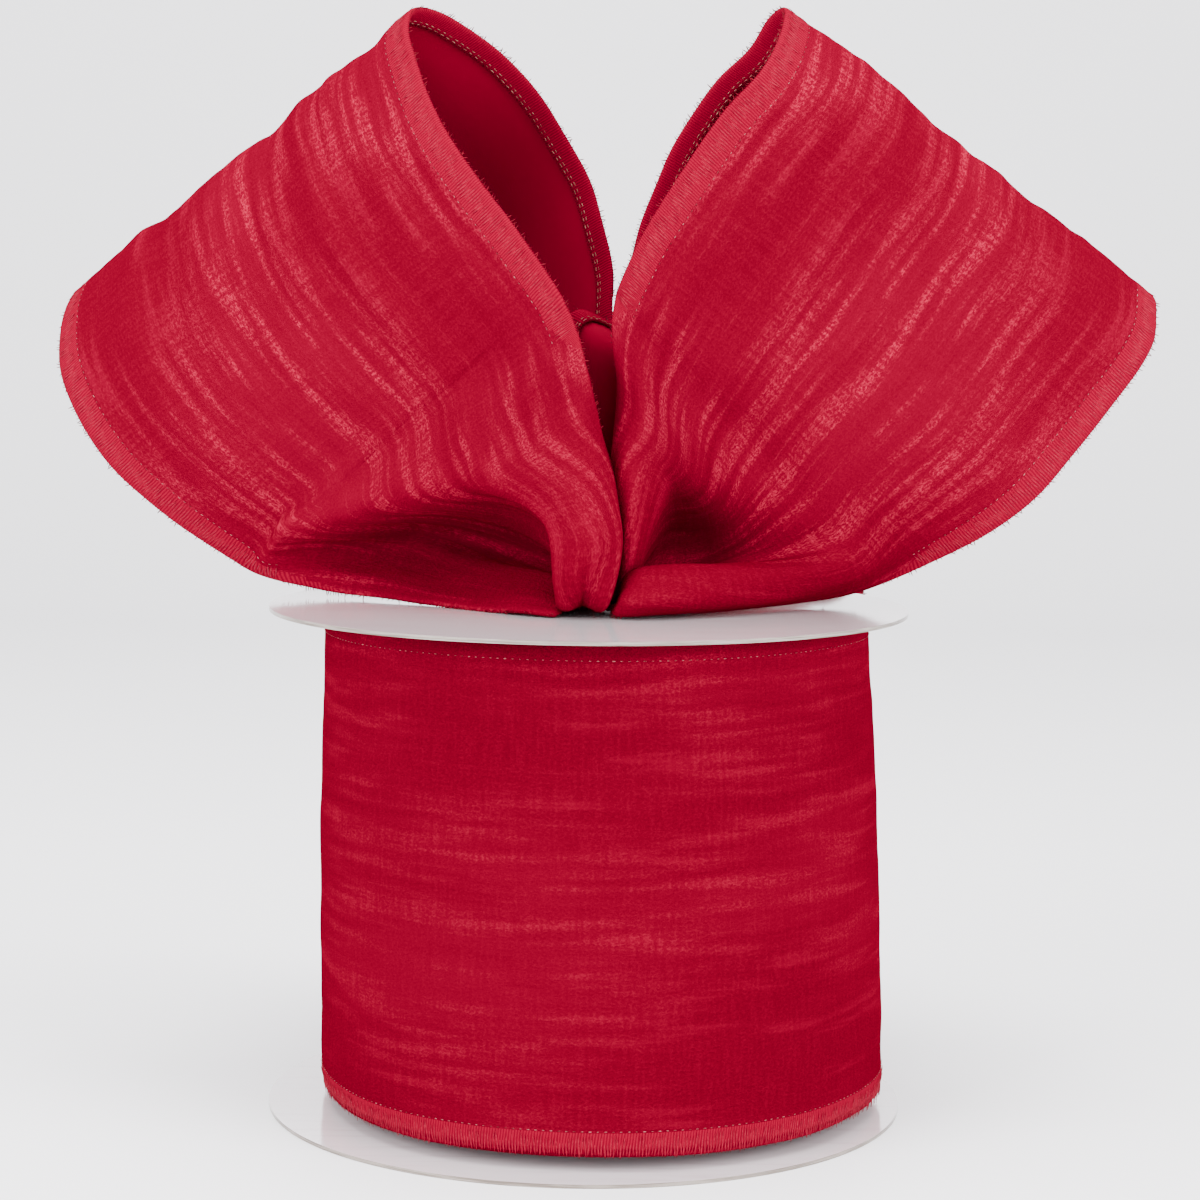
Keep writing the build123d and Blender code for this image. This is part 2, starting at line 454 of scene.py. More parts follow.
@dataclass(frozen=True)
class CoatedBoard:
    """Greyboard disc with a glossy white paper face and a bare brown edge.

    Attributes:
        paper: The coated face, white with a pink tint that is painted reflection of the red ribbon.
        streak: Faint brushed streaks in it.
        edge: Dark layers of the cut edge.
        edge_light: Light layers of it.
    """

    # The paper's pink tint is painted reflection of the red ribbon.
    paper: Colour = rgb(0.64, 0.565, 0.59)
    streak: Colour = rgb(0.50, 0.40, 0.43)
    edge: Colour = rgb(0.085, 0.060, 0.045)
    edge_light: Colour = rgb(0.21, 0.175, 0.15)

    def material(self, name: str = "coated_board") -> bpy.types.Material:
        """Build the board, with its cut edge told apart by the upright face.

        Args:
            name: Name of the material.

        Returns:
            The material.
        """
        made = Shader(name)
        place = made.object_place()
        facing = made.out("ShaderNodeNewGeometry", output="Normal")
        upright = made.out("ShaderNodeSeparateXYZ", {0: facing}, 2)
        rim = made.ramp(made.math("ABSOLUTE", upright), 0.35, 0.6, 1.0, 0.0)
        brushed_and_sheen = made.noise(place, (30.0, 340.0, 30.0), 4.0, 0.6)
        wavy = made.noise(place, (24.0, 60.0, 24.0), 3.0, 0.5)
        layers = made.noise(place, (90.0, 90.0, 3800.0), 2.0, 0.6)
        face = made.mix(made.ramp(brushed_and_sheen, 0.5, 0.72, 0.0, 0.5), self.paper, self.streak)
        board = made.mix(made.ramp(layers, 0.35, 0.65), self.edge, self.edge_light)
        made.set(Base_Color=made.mix(rim, face, board))
        made.set(Roughness=made.mix(rim, rgb(0.16, 0.16, 0.16), rgb(0.85, 0.85, 0.85)))
        made.set(Normal=made.bump(brushed_and_sheen, 0.00004, 0.35, made.bump(wavy, 0.0006, 0.25)))
        made.set(Coat_Weight=1.0, Coat_Roughness=0.10, Specular_IOR_Level=0.5)
        return made.material


@dataclass(frozen=True)
class PlainStuff:
    """Matt or shiny stuff with a fine mottle, for the hidden pieces.

    Attributes:
        name: Name of the material.
        colour: One colour of the mottle.
        other: The other one.
        rough: Roughness.
        metal: 1 for metal.
        grain: Grains in a metre, along each axis.
    """

    name: str
    colour: Colour
    other: Colour
    rough: float = 0.8
    metal: float = 0.0
    grain: Point = (400.0, 400.0, 400.0)

    def material(self) -> bpy.types.Material:
        """Build the material.

        Returns:
            The material.
        """
        made = Shader(self.name)
        mottle = made.noise(made.object_place(), self.grain, 4.0)
        made.set(Base_Color=made.mix(made.ramp(mottle, 0.35, 0.65), self.colour, self.other))
        made.set(Roughness=self.rough, Metallic=self.metal, Normal=made.bump(mottle, 0.0001, 0.4))
        return made.material


class Finishes:
    """Every material of the object, made once."""

    def __init__(self) -> None:
        """Build the materials."""
        self.velvet = CrushedVelvet().material()
        # The roll's velvet is darker as painted shade, for the weaker light on the roll than on the loops,
        # and has less painted sheen.
        shaded_roll_velvet = CrushedVelvet(brushed_and_sheen=0.20, deep=rgb(0.074, 0.0, 0.0050),
                                crimson=rgb(0.096, 0.0, 0.0070), raised=rgb(0.125, 0.0, 0.0095))
        self.wound_velvet = shaded_roll_velvet.material("wound_velvet")
        self.hem = OverlockedHem().material()
        self.satin = SatinLining().material()
        self.board = CoatedBoard().material()
        self.overlock = Yarn("overlock_yarn", rgb(0.185, 0.002, 0.0145),
                             rgb(0.120, 0.0, 0.009)).material()
        self.pink_stitch = Yarn("running_stitch", rgb(0.24, 0.055, 0.060),
                                rgb(0.07, 0.004, 0.007)).material()
        self.pale_stitch = Yarn("lining_stitch", rgb(0.30, 0.13, 0.10), rgb(0.12, 0.03, 0.025)).material()
        self.picot = Yarn("picot_fibres", rgb(0.12, 0.001, 0.008), rgb(0.05, 0.0, 0.003)).material()
        self.wire = PlainStuff("edge_wire", rgb(0.62, 0.55, 0.48), rgb(0.45, 0.40, 0.36),
                               rough=0.3, metal=1.0).material()
        self.core = PlainStuff("core_board", rgb(0.45, 0.36, 0.27), rgb(0.33, 0.26, 0.19), 0.9).material()
        self.glue = PlainStuff("hot_glue", rgb(0.80, 0.74, 0.58), rgb(0.66, 0.60, 0.46), 0.35).material()
        self.tie = PlainStuff("paper_tie", rgb(0.16, 0.001, 0.01), rgb(0.10, 0.0, 0.006), 0.55).material()


# ---- curves, noise and grids ------------------------------------------------
def spline(points: np.ndarray, knots: np.ndarray, places: np.ndarray) -> np.ndarray:
    """A smooth curve through points, one coordinate set per row.

    Args:
        points: Array whose first axis runs along the curve.
        knots: Rising parameter of each point.
        places: Parameters to read the curve at.

    Returns:
        The curve at the places, first axis along them.
    """
    steps = np.diff(knots)
    shape = (-1,) + (1,) * (points.ndim - 1)
    slopes = np.diff(points, axis=0) / steps.reshape(shape)
    tangents = np.empty_like(points)
    tangents[0], tangents[-1] = slopes[0], slopes[-1]
    before, after = steps[:-1].reshape(shape), steps[1:].reshape(shape)
    tangents[1:-1] = (slopes[1:] * before + slopes[:-1] * after) / (before + after)
    index = np.clip(np.searchsorted(knots, places, side="right") - 1, 0, len(steps) - 1)
    width = steps[index]
    share = ((places - knots[index]) / width).reshape(shape)
    width = width.reshape(shape)
    square, cube = share ** 2, share ** 3
    return (
        (2 * cube - 3 * square + 1) * points[index]
        + (cube - 2 * square + share) * width * tangents[index]
        + (3 * square - 2 * cube) * points[index + 1]
        + (cube - square) * width * tangents[index + 1]
    )


def gaps(points: np.ndarray) -> np.ndarray:
    """Distances between neighbours along the first axis."""
    return np.linalg.norm(np.diff(points, axis=0), axis=-1)


def distances(points: np.ndarray) -> np.ndarray:
    """Distance of each point from the first, along the first axis."""
    steps = gaps(points)
    return np.concatenate([np.zeros((1,) + steps.shape[1:]), np.cumsum(steps, axis=0)])


def crumple(along: np.ndarray, across: np.ndarray, grain: tuple[float, float], seed: int) -> np.ndarray:
    """Smooth noise from -1 to 1 over the cloth.

    Args:
        along: Distance along the ribbon, in millimetres.
        across: Distance across it, in millimetres.
        grain: Size of one lump along and across the ribbon, in millimetres.
        seed: Which pattern.

    Returns:
        The noise, in the shape of the two distances.
    """
    first, second = along / grain[0], across / grain[1]
    low = (math.floor(first.min()), math.floor(second.min()))
    first, second = first - low[0], second - low[1]
    size = (int(first.max()) + 3, int(second.max()) + 3)
    lumps = np.random.default_rng(seed).uniform(-1, 1, size)
    row, column = first.astype(int), second.astype(int)
    x, y = first - row, second - column
    x, y = x * x * (3 - 2 * x), y * y * (3 - 2 * y)
    return (
        lumps[row, column] * (1 - x) * (1 - y) + lumps[row + 1, column] * x * (1 - y)
        + lumps[row, column + 1] * (1 - x) * y + lumps[row + 1, column + 1] * x * y
    )


def softened(grid: np.ndarray, rounds: int) -> np.ndarray:
    """A grid of points smoothed inside its border, which only slides along itself.

    Args:
        grid: The points.
        rounds: Rounds of smoothing.

    Returns:
        The new grid.
    """
    made = grid.copy()
    for _ in range(rounds):
        middle = (made[:-2, 1:-1] + made[2:, 1:-1] + made[1:-1, :-2] + made[1:-1, 2:]) / 4
        made[1:-1, 1:-1] = (made[1:-1, 1:-1] + middle) / 2
        for edge in (0, -1):
            made[1:-1, edge] = (2 * made[1:-1, edge] + made[:-2, edge] + made[2:, edge]) / 4
    return made


def smoothed(grid: np.ndarray, rows: float) -> np.ndarray:
    """A grid evened out along its first axis, with its ends kept.

    Args:
        grid: The points.
        rows: Spread of the evening out, in rows.

    Returns:
        The new grid.
    """
    if rows <= 0:
        return grid
    reach = int(3 * rows)
    weights = np.exp(-0.5 * (np.arange(-reach, reach + 1) / rows) ** 2)
    weights /= weights.sum()
    first = 2 * grid[:1] - grid[reach:0:-1]
    last = 2 * grid[-1:] - grid[-2:-reach - 2:-1]
    padded = np.concatenate([first, grid, last])
    return sum(weight * padded[k:k + len(grid)] for k, weight in enumerate(weights))


@dataclass
class Profile:
    """Section of one layer of the ribbon: a skin line and the matching back line.

    Attributes:
        skin: Places across the ribbon and heights over its middle, in millimetres.
        back: The same number of places on the far side of the layer.
        finish: Which material each stretch between two places takes.
    """

    skin: np.ndarray
    back: np.ndarray
    finish: np.ndarray


def velvet_profile(columns: int = 104) -> Profile:
    """The velvet: its face, and both edges turned in over the wires.

    Args:
        columns: Number of places across the face.

    Returns:
        The section.
    """
    # Both lines start at the cut edge under the hem and come round the fold to the face.
    turn = [(CUT.turned_in, -0.86), (3.6, -0.88), (2.4, -0.88), (1.2, -0.86), (0.45, -0.66), (0.05, -0.2),
            (0.25, 0.28)]
    pocket = [(CUT.turned_in, -0.44), (3.6, -0.42), (2.4, -0.42), (1.3, -0.42), (0.9, -0.36), (0.62, -0.2),
              (0.8, -0.04)]
    face = np.linspace(0.9, CUT.width - 0.9, columns)
    inside = np.linspace(1.2, CUT.width - 1.2, columns)
    other = [(CUT.width - place, height) for place, height in reversed(turn)]
    other_pocket = [(CUT.width - place, height) for place, height in reversed(pocket)]
    skin = np.array(turn + [(place, CUT.velvet) for place in face] + other)
    back = np.array(pocket + [(place, 0.03) for place in inside] + other_pocket)
    middle = (skin[1:, 0] + skin[:-1, 0]) / 2
    hemmed = (middle < CUT.hem) | (middle > CUT.width - CUT.hem)
    return Profile(skin, back, hemmed.astype(int))


def satin_profile(columns: int = 44) -> Profile:
    """The lining: a thin strip whose edges lie under the turned-in velvet.

    Args:
        columns: Number of places across it.

    Returns:
        The section.
    """
    places = np.linspace(CUT.lining_in, CUT.width - CUT.lining_in, columns)
    skin = np.stack([places, np.full(columns, -0.04)], 1)
    back = np.stack([places, np.full(columns, -0.04 - CUT.satin)], 1)
    return Profile(skin, back, np.zeros(columns - 1, int))


def wire_profile(edge: Edge) -> Profile:
    """The round wire in the fold of one hem.

    Args:
        edge: Which hem.

    Returns:
        The section.
    """
    turns = np.linspace(0, math.pi, 5)
    centre, height, radius = edge.inward(CUT.wire_in), -0.2, CUT.wire / 2
    skin = np.stack([centre - radius * np.cos(turns), height + radius * np.sin(turns)], 1)
    back = np.stack([centre - radius * np.cos(turns), height - radius * np.sin(turns)], 1)
    return Profile(skin, back, np.zeros(4, int))


class Surface:
    """The middle of a ribbon as a grid of points, rows along it and columns across it.

    Attributes:
        grid: Rows x columns x 3 points in millimetres, evenly spaced in each row.
        facing: Unit directions on the velvet side.
        along: Distance of each row from the first, in millimetres.
        velvet_on: 1 if the velvet is on the side of rows x columns, or -1.
    """

    COLUMNS = 128

    def __init__(self, grid: np.ndarray, velvet_on: int, smooth: float = 0.0) -> None:
        """Space the columns evenly and find the velvet side.

        Args:
            grid: Points of the ribbon's middle.
            velvet_on: 1 if the velvet is on the side of rows x columns, or -1.
            smooth: Rows over which the threads of a loop's front leaf are evened out.
        """
        even = np.linspace(0, 1, self.COLUMNS)
        rows = []
        for row in grid:
            place = distances(row)
            rows.append(np.stack([np.interp(even * place[-1], place, row[:, k]) for k in range(3)], 1))
        self.grid = np.array(rows)
        if smooth > 0:
            # The front leaf lies between rows 30 and 112; the pinch and the far fold keep their bends.
            number = np.arange(len(rows))[:, None, None]
            share = np.clip((number - 30) / 15, 0, 1) * np.clip((112 - number) / 25, 0, 1)
            self.grid = smoothed(self.grid, smooth) * share + smoothed(self.grid, 1.6) * (1 - share)
        self.velvet_on = velvet_on
        self.along = distances(self.grid).mean(axis=1)
        self.face()

    @classmethod
    def looking(cls, grid: np.ndarray, row: int, way: np.ndarray) -> "Surface":
        """A stretch whose velvet looks a given way.

        Args:
            grid: Points of the ribbon's middle.
            row: Row at which the side is judged.
            way: Direction that the velvet has to face in the middle of that row.

        Returns:
            The stretch.
        """
        made = cls(grid, 1)
        if made.facing[row, cls.COLUMNS // 2] @ way < 0:
            made = cls(grid, -1)
        return made

    def face(self) -> None:
        """Work out the unit directions on the velvet side."""
        forward = np.gradient(self.grid, axis=0)
        sideways = np.gradient(self.grid, axis=1)
        facing = np.cross(forward, sideways) * self.velvet_on
        self.facing = facing / np.maximum(np.linalg.norm(facing, axis=-1, keepdims=True), 1e-9)

    @property
    def length(self) -> float:
        """Length of the stretch, in millimetres."""
        return float(self.along[-1] - self.along[0])

    def crease(self, depth: np.ndarray) -> None:
        """Lift the points by a depth in millimetres along their facing."""
        self.grid = self.grid + self.facing * depth[..., None]
        self.face()

    def places(self) -> tuple[np.ndarray, np.ndarray]:
        """Distances along and across the ribbon of every grid point."""
        across = np.linspace(0, CUT.width, self.COLUMNS)
        return np.meshgrid(self.along, across, indexing="ij")

    def read(self, across: np.ndarray) -> tuple[np.ndarray, np.ndarray]:
        """Points and facings at some places across every row.

        Args:
            across: Places in millimetres from the first edge.

        Returns:
            The points and the facings, rows x places x 3.
        """
        column = np.clip(across / CUT.width, 0, 1) * (self.COLUMNS - 1)
        low = np.minimum(column.astype(int), self.COLUMNS - 2)
        share = (column - low)[None, :, None]
        points = self.grid[:, low] * (1 - share) + self.grid[:, low + 1] * share
        facing = self.facing[:, low] * (1 - share) + self.facing[:, low + 1] * share
        return points, facing / np.maximum(np.linalg.norm(facing, axis=-1, keepdims=True), 1e-9)

    def thinned(self, step: int) -> "Surface":
        """The same stretch with fewer rows.

        Args:
            step: Every how many rows one is kept, besides the last.

        Returns:
            The thinner stretch.
        """
        kept = list(range(0, len(self.grid) - 1, step)) + [len(self.grid) - 1]
        made = copy.copy(self)
        made.grid, made.facing, made.along = self.grid[kept], self.facing[kept], self.along[kept]
        return made


# ---- meshes -----------------------------------------------------------------
def hand_in(piece: bpy.types.Object, slot: str, node: str = "") -> None:
    """Hide the CAD node that a piece stands for, if it stands for one, and log the piece with its slot.

    Args:
        piece: The piece.
        slot: Its material slot.
        node: The node, if it stands for one.
    """
    if node:
        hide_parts(node)
    log.info("%s: %s, %d faces", piece.name, slot, len(piece.data.polygons))


def new_piece(name: str, points: np.ndarray, faces: Iterable[Sequence[int]],
              materials: Sequence[bpy.types.Material], which: Optional[np.ndarray] = None,
              cloth: Optional[np.ndarray] = None) -> bpy.types.Object:
    """Make a mesh object at the origin.

    Args:
        name: Name of the piece.
        points: Its points, in millimetres.
        faces: Corner numbers of each face.
        materials: Its materials.
        which: Material number of each face.
        cloth: Place on the cloth of each point, in metres.

    Returns:
        The object, linked to the scene.
    """
    mesh = bpy.data.meshes.new(name)
    mesh.from_pydata((points * MM).tolist(), [], [list(map(int, face)) for face in faces])
    for material in materials:
        mesh.materials.append(material)
    if which is not None:
        mesh.polygons.foreach_set("material_index", np.asarray(which, np.int32))
    if cloth is not None:
        layer = mesh.uv_layers.new(name="cloth")
        corner = np.empty(len(mesh.loops), np.int32)
        mesh.loops.foreach_get("vertex_index", corner)
        layer.data.foreach_set("uv", cloth[corner].astype(np.float32).ravel())
    mesh.polygons.foreach_set("use_smooth", np.ones(len(mesh.polygons), bool))
    mesh.update()
    piece = bpy.data.objects.new(name, mesh)
    bpy.context.scene.collection.objects.link(piece)
    return piece


def swept(name: str, surface: Surface, profile: Profile, materials: Sequence[bpy.types.Material],
          relief: Optional[np.ndarray] = None,
          hem_from: tuple[float, float] = (OPEN_HEM, OPEN_HEM)) -> bpy.types.Object:
    """One layer of a ribbon as a closed mesh.

    Args:
        name: Name of the piece.
        surface: The ribbon's middle.
        profile: The layer's section.
        materials: Materials for the profile's finish numbers.
        relief: Extra height of the skin, rows x places, in millimetres.
        hem_from: Distance along from which the first and the last hem lie open to view.

    Returns:
        The object.
    """
    rows, places = len(surface.grid), len(profile.skin)
    sides = []
    for line, extra in ((profile.skin, relief), (profile.back, None)):
        points, facing = surface.read(line[:, 0])
        height = line[None, :, 1] + (0 if extra is None else extra)
        sides.append(points + facing * height[..., None])
    points = np.concatenate([sides[0].reshape(-1, 3), sides[1].reshape(-1, 3)])
    number = np.arange(rows * places).reshape(rows, places)
    back = number + rows * places
    top = np.stack([number[:-1, :-1], number[1:, :-1], number[1:, 1:], number[:-1, 1:]], -1)
    bottom = np.stack([back[:-1, :-1], back[:-1, 1:], back[1:, 1:], back[1:, :-1]], -1)
    finish = np.broadcast_to(profile.finish, top.shape[:2]).copy()
    middle = (profile.skin[1:, 0] + profile.skin[:-1, 0]) / 2
    for start, inward in ((hem_from[0], middle), (hem_from[1], CUT.width - middle)):
        # A hem comes to its full width over 14 mm.
        shown = CUT.hem * np.clip((surface.along[:-1] - start) / 14.0, 0, 1)
        finish[(inward[None, :] > shown[:, None]) & (inward[None, :] < CUT.width / 2)] = 0
    first = np.stack([number[:-1, 0], back[:-1, 0], back[1:, 0], number[1:, 0]], -1)
    last = np.stack([number[:-1, -1], number[1:, -1], back[1:, -1], back[:-1, -1]], -1)
    start = np.stack([number[0, :-1], number[0, 1:], back[0, 1:], back[0, :-1]], -1)
    end = np.stack([number[-1, :-1], back[-1, :-1], back[-1, 1:], number[-1, 1:]], -1)
    faces = np.concatenate([top.reshape(-1, 4), bottom.reshape(-1, 4), first, last, start, end])
    which = np.concatenate([finish.ravel(), finish.ravel(), np.full(2 * len(first), profile.finish[0]),
                            profile.finish, profile.finish])
    if surface.velvet_on < 0:
        faces = faces[:, ::-1]
    along = np.repeat(surface.along[:, None], places, 1)
    cloth = np.stack([np.stack([along, np.broadcast_to(line[:, 0], along.shape)], -1).reshape(-1, 2)
                      for line in (profile.skin, profile.back)]).reshape(-1, 2) * MM
    return new_piece(name, points, faces, materials, which, cloth)


# ---- seams by geometry nodes ------------------------------------------------
@dataclass(frozen=True)
class Stitching:
    """Short threads set one after another along a line on the cloth.

    Attributes:
        pitch: Distance between two threads, in millimetres.
        long: Length of one thread along its grain.
        wide: Its width.
        high: Its height over the cloth.
        stray: Largest random turn, in degrees.
        uneven: Share by which lengths differ.
        seed: Seed of the random turns and lengths.
    """

    pitch: float
    long: float
    wide: float
    high: float
    stray: float = 4.0
    uneven: float = 0.1
    seed: int = 1

    def tree(self, material: bpy.types.Material) -> bpy.types.NodeTree:
        """Build the node tree that lays the threads.

        Args:
            material: The threads' material.

        Returns:
            The tree, with named inputs for its sizes.
        """
        tree = bpy.data.node_groups.new("seam_threads", "GeometryNodeTree")
        port = tree.interface.new_socket
        port("Geometry", in_out="INPUT", socket_type="NodeSocketGeometry")
        for name in ("Pitch", "Long", "Wide", "High", "Stray", "Uneven"):
            port(name, in_out="INPUT", socket_type="NodeSocketFloat")
        port("Seed", in_out="INPUT", socket_type="NodeSocketInt")
        port("Geometry", in_out="OUTPUT", socket_type="NodeSocketGeometry")
        made = Wiring(tree)
        source = made.node("NodeGroupInput").outputs
        line = made.out("GeometryNodeMeshToCurve", {"Mesh": source["Geometry"]})
        spaced = made.out("GeometryNodeResampleCurve", {"Curve": line, "Length": source["Pitch"]},
                          mode="LENGTH")
        thread = made.out("GeometryNodeMeshUVSphere", {"Segments": 6, "Rings": 5, "Radius": 0.5})
        # Each thread lies along the grain with its height towards the way up, and then strays a little.
        grain, up = (made.out("GeometryNodeInputNamedAttribute", {"Name": name}, "Attribute",
                              data_type="FLOAT_VECTOR") for name in ("grain", "up"))
        lying = made.out("FunctionNodeAlignRotationToVector", {"Vector": grain}, axis="X")
        upright = made.out("FunctionNodeAlignRotationToVector", {"Vector": up, "Rotation": lying}, axis="Z",
                           pivot_axis="X")
        least, most = (made.out("ShaderNodeVectorMath", {0: (sign, sign, sign), "Scale": source["Stray"]},
                                operation="SCALE") for sign in (-1.0, 1.0))
        stray = made.out("FunctionNodeRandomValue", {0: least, 1: most, "Seed": source["Seed"]},
                         data_type="FLOAT_VECTOR")
        tilt = made.out("FunctionNodeEulerToRotation", {0: stray})
        tilted = made.out("FunctionNodeRotateRotation", {"Rotation": upright, "Rotate By": tilt},
                          rotation_space="LOCAL")
        size = made.out("ShaderNodeCombineXYZ",
                        {"X": source["Long"], "Y": source["Wide"], "Z": source["High"]})
        shortest = made.out("ShaderNodeMath", {0: 1.0, 1: source["Uneven"]}, operation="SUBTRACT")
        share = made.out("FunctionNodeRandomValue", {2: shortest, 3: 1.0, "Seed": source["Seed"]}, 1,
                         data_type="FLOAT")
        scaled = made.out("ShaderNodeVectorMath", {0: size, "Scale": share}, operation="SCALE")
        placed = made.out("GeometryNodeInstanceOnPoints",
                          {"Points": spaced, "Instance": thread, "Rotation": tilted, "Scale": scaled})
        real = made.out("GeometryNodeRealizeInstances", {0: placed})
        dressed = made.out("GeometryNodeSetMaterial", {"Geometry": real, "Material": material})
        made.node("NodeGroupOutput", {0: dressed})
        return tree

    def sew(self, name: str, lines: Sequence[tuple[np.ndarray, np.ndarray, np.ndarray]],
            material: bpy.types.Material) -> bpy.types.Object:
        """Sew threads along some lines.

        Args:
            name: Name of the piece.
            lines: For each line its points, the grain of the threads and the way up, in millimetres.
            material: The threads' material.

        Returns:
            One plain mesh with all the threads.
        """
        points = np.concatenate([line[0] for line in lines])
        edges, start = [], 0
        for line in lines:
            edges += [(start + step, start + step + 1) for step in range(len(line[0]) - 1)]
            start += len(line[0])
        guide_mesh = bpy.data.meshes.new(name + "_guide")
        guide_mesh.from_pydata((points * MM).tolist(), edges, [])
        for label, part in (("grain", 1), ("up", 2)):
            values = np.concatenate([line[part] for line in lines]).astype(np.float32)
            layer = guide_mesh.attributes.new(label, "FLOAT_VECTOR", "POINT")
            layer.data.foreach_set("vector", values.ravel())
        guide = bpy.data.objects.new(name + "_guide", guide_mesh)
        bpy.context.scene.collection.objects.link(guide)
        tree = self.tree(material)
        modifier = guide.modifiers.new("threads", "NODES")
        modifier.node_group = tree
        values = {"Pitch": self.pitch * MM, "Long": self.long * MM, "Wide": self.wide * MM,
                  "High": self.high * MM, "Stray": math.radians(self.stray), "Uneven": self.uneven,
                  "Seed": self.seed}
        for item in tree.interface.items_tree:
            if item.item_type == "SOCKET" and item.in_out == "INPUT" and item.name in values:
                modifier[item.identifier] = values[item.name]
        graph = bpy.context.evaluated_depsgraph_get()
        mesh = bpy.data.meshes.new_from_object(guide.evaluated_get(graph))
        mesh.name = name
        bpy.data.objects.remove(guide)
        piece = bpy.data.objects.new(name, mesh)
        bpy.context.scene.collection.objects.link(piece)
        return piece


def seam_line(surface: Surface, across: float, height: float,
              grain: Grain) -> tuple[np.ndarray, np.ndarray, np.ndarray]:
    """A line along the ribbon for threads to follow.

    Args:
        surface: The ribbon's middle.
        across: Place of the line from the first edge, in millimetres.
        height: Height over the middle.
        grain: The way the threads lie.

    Returns:
        Points, grains and ways up of the line.
    """
    points, facing = surface.read(np.array([across]))
    beside, _ = surface.read(np.array([across + (1.0 if across < CUT.width / 2 else -1.0)]))
    points, facing, beside = points[:, 0], facing[:, 0], beside[:, 0]
    sideways = beside - points
    sideways /= np.maximum(np.linalg.norm(sideways, axis=1, keepdims=True), 1e-9)
    forward = np.gradient(points, axis=0)
    forward /= np.maximum(np.linalg.norm(forward, axis=1, keepdims=True), 1e-9)
    grains = {Grain.ALONG: forward, Grain.ACROSS: sideways, Grain.OUT: -sideways}[grain]
    return points + facing * height, grains, facing


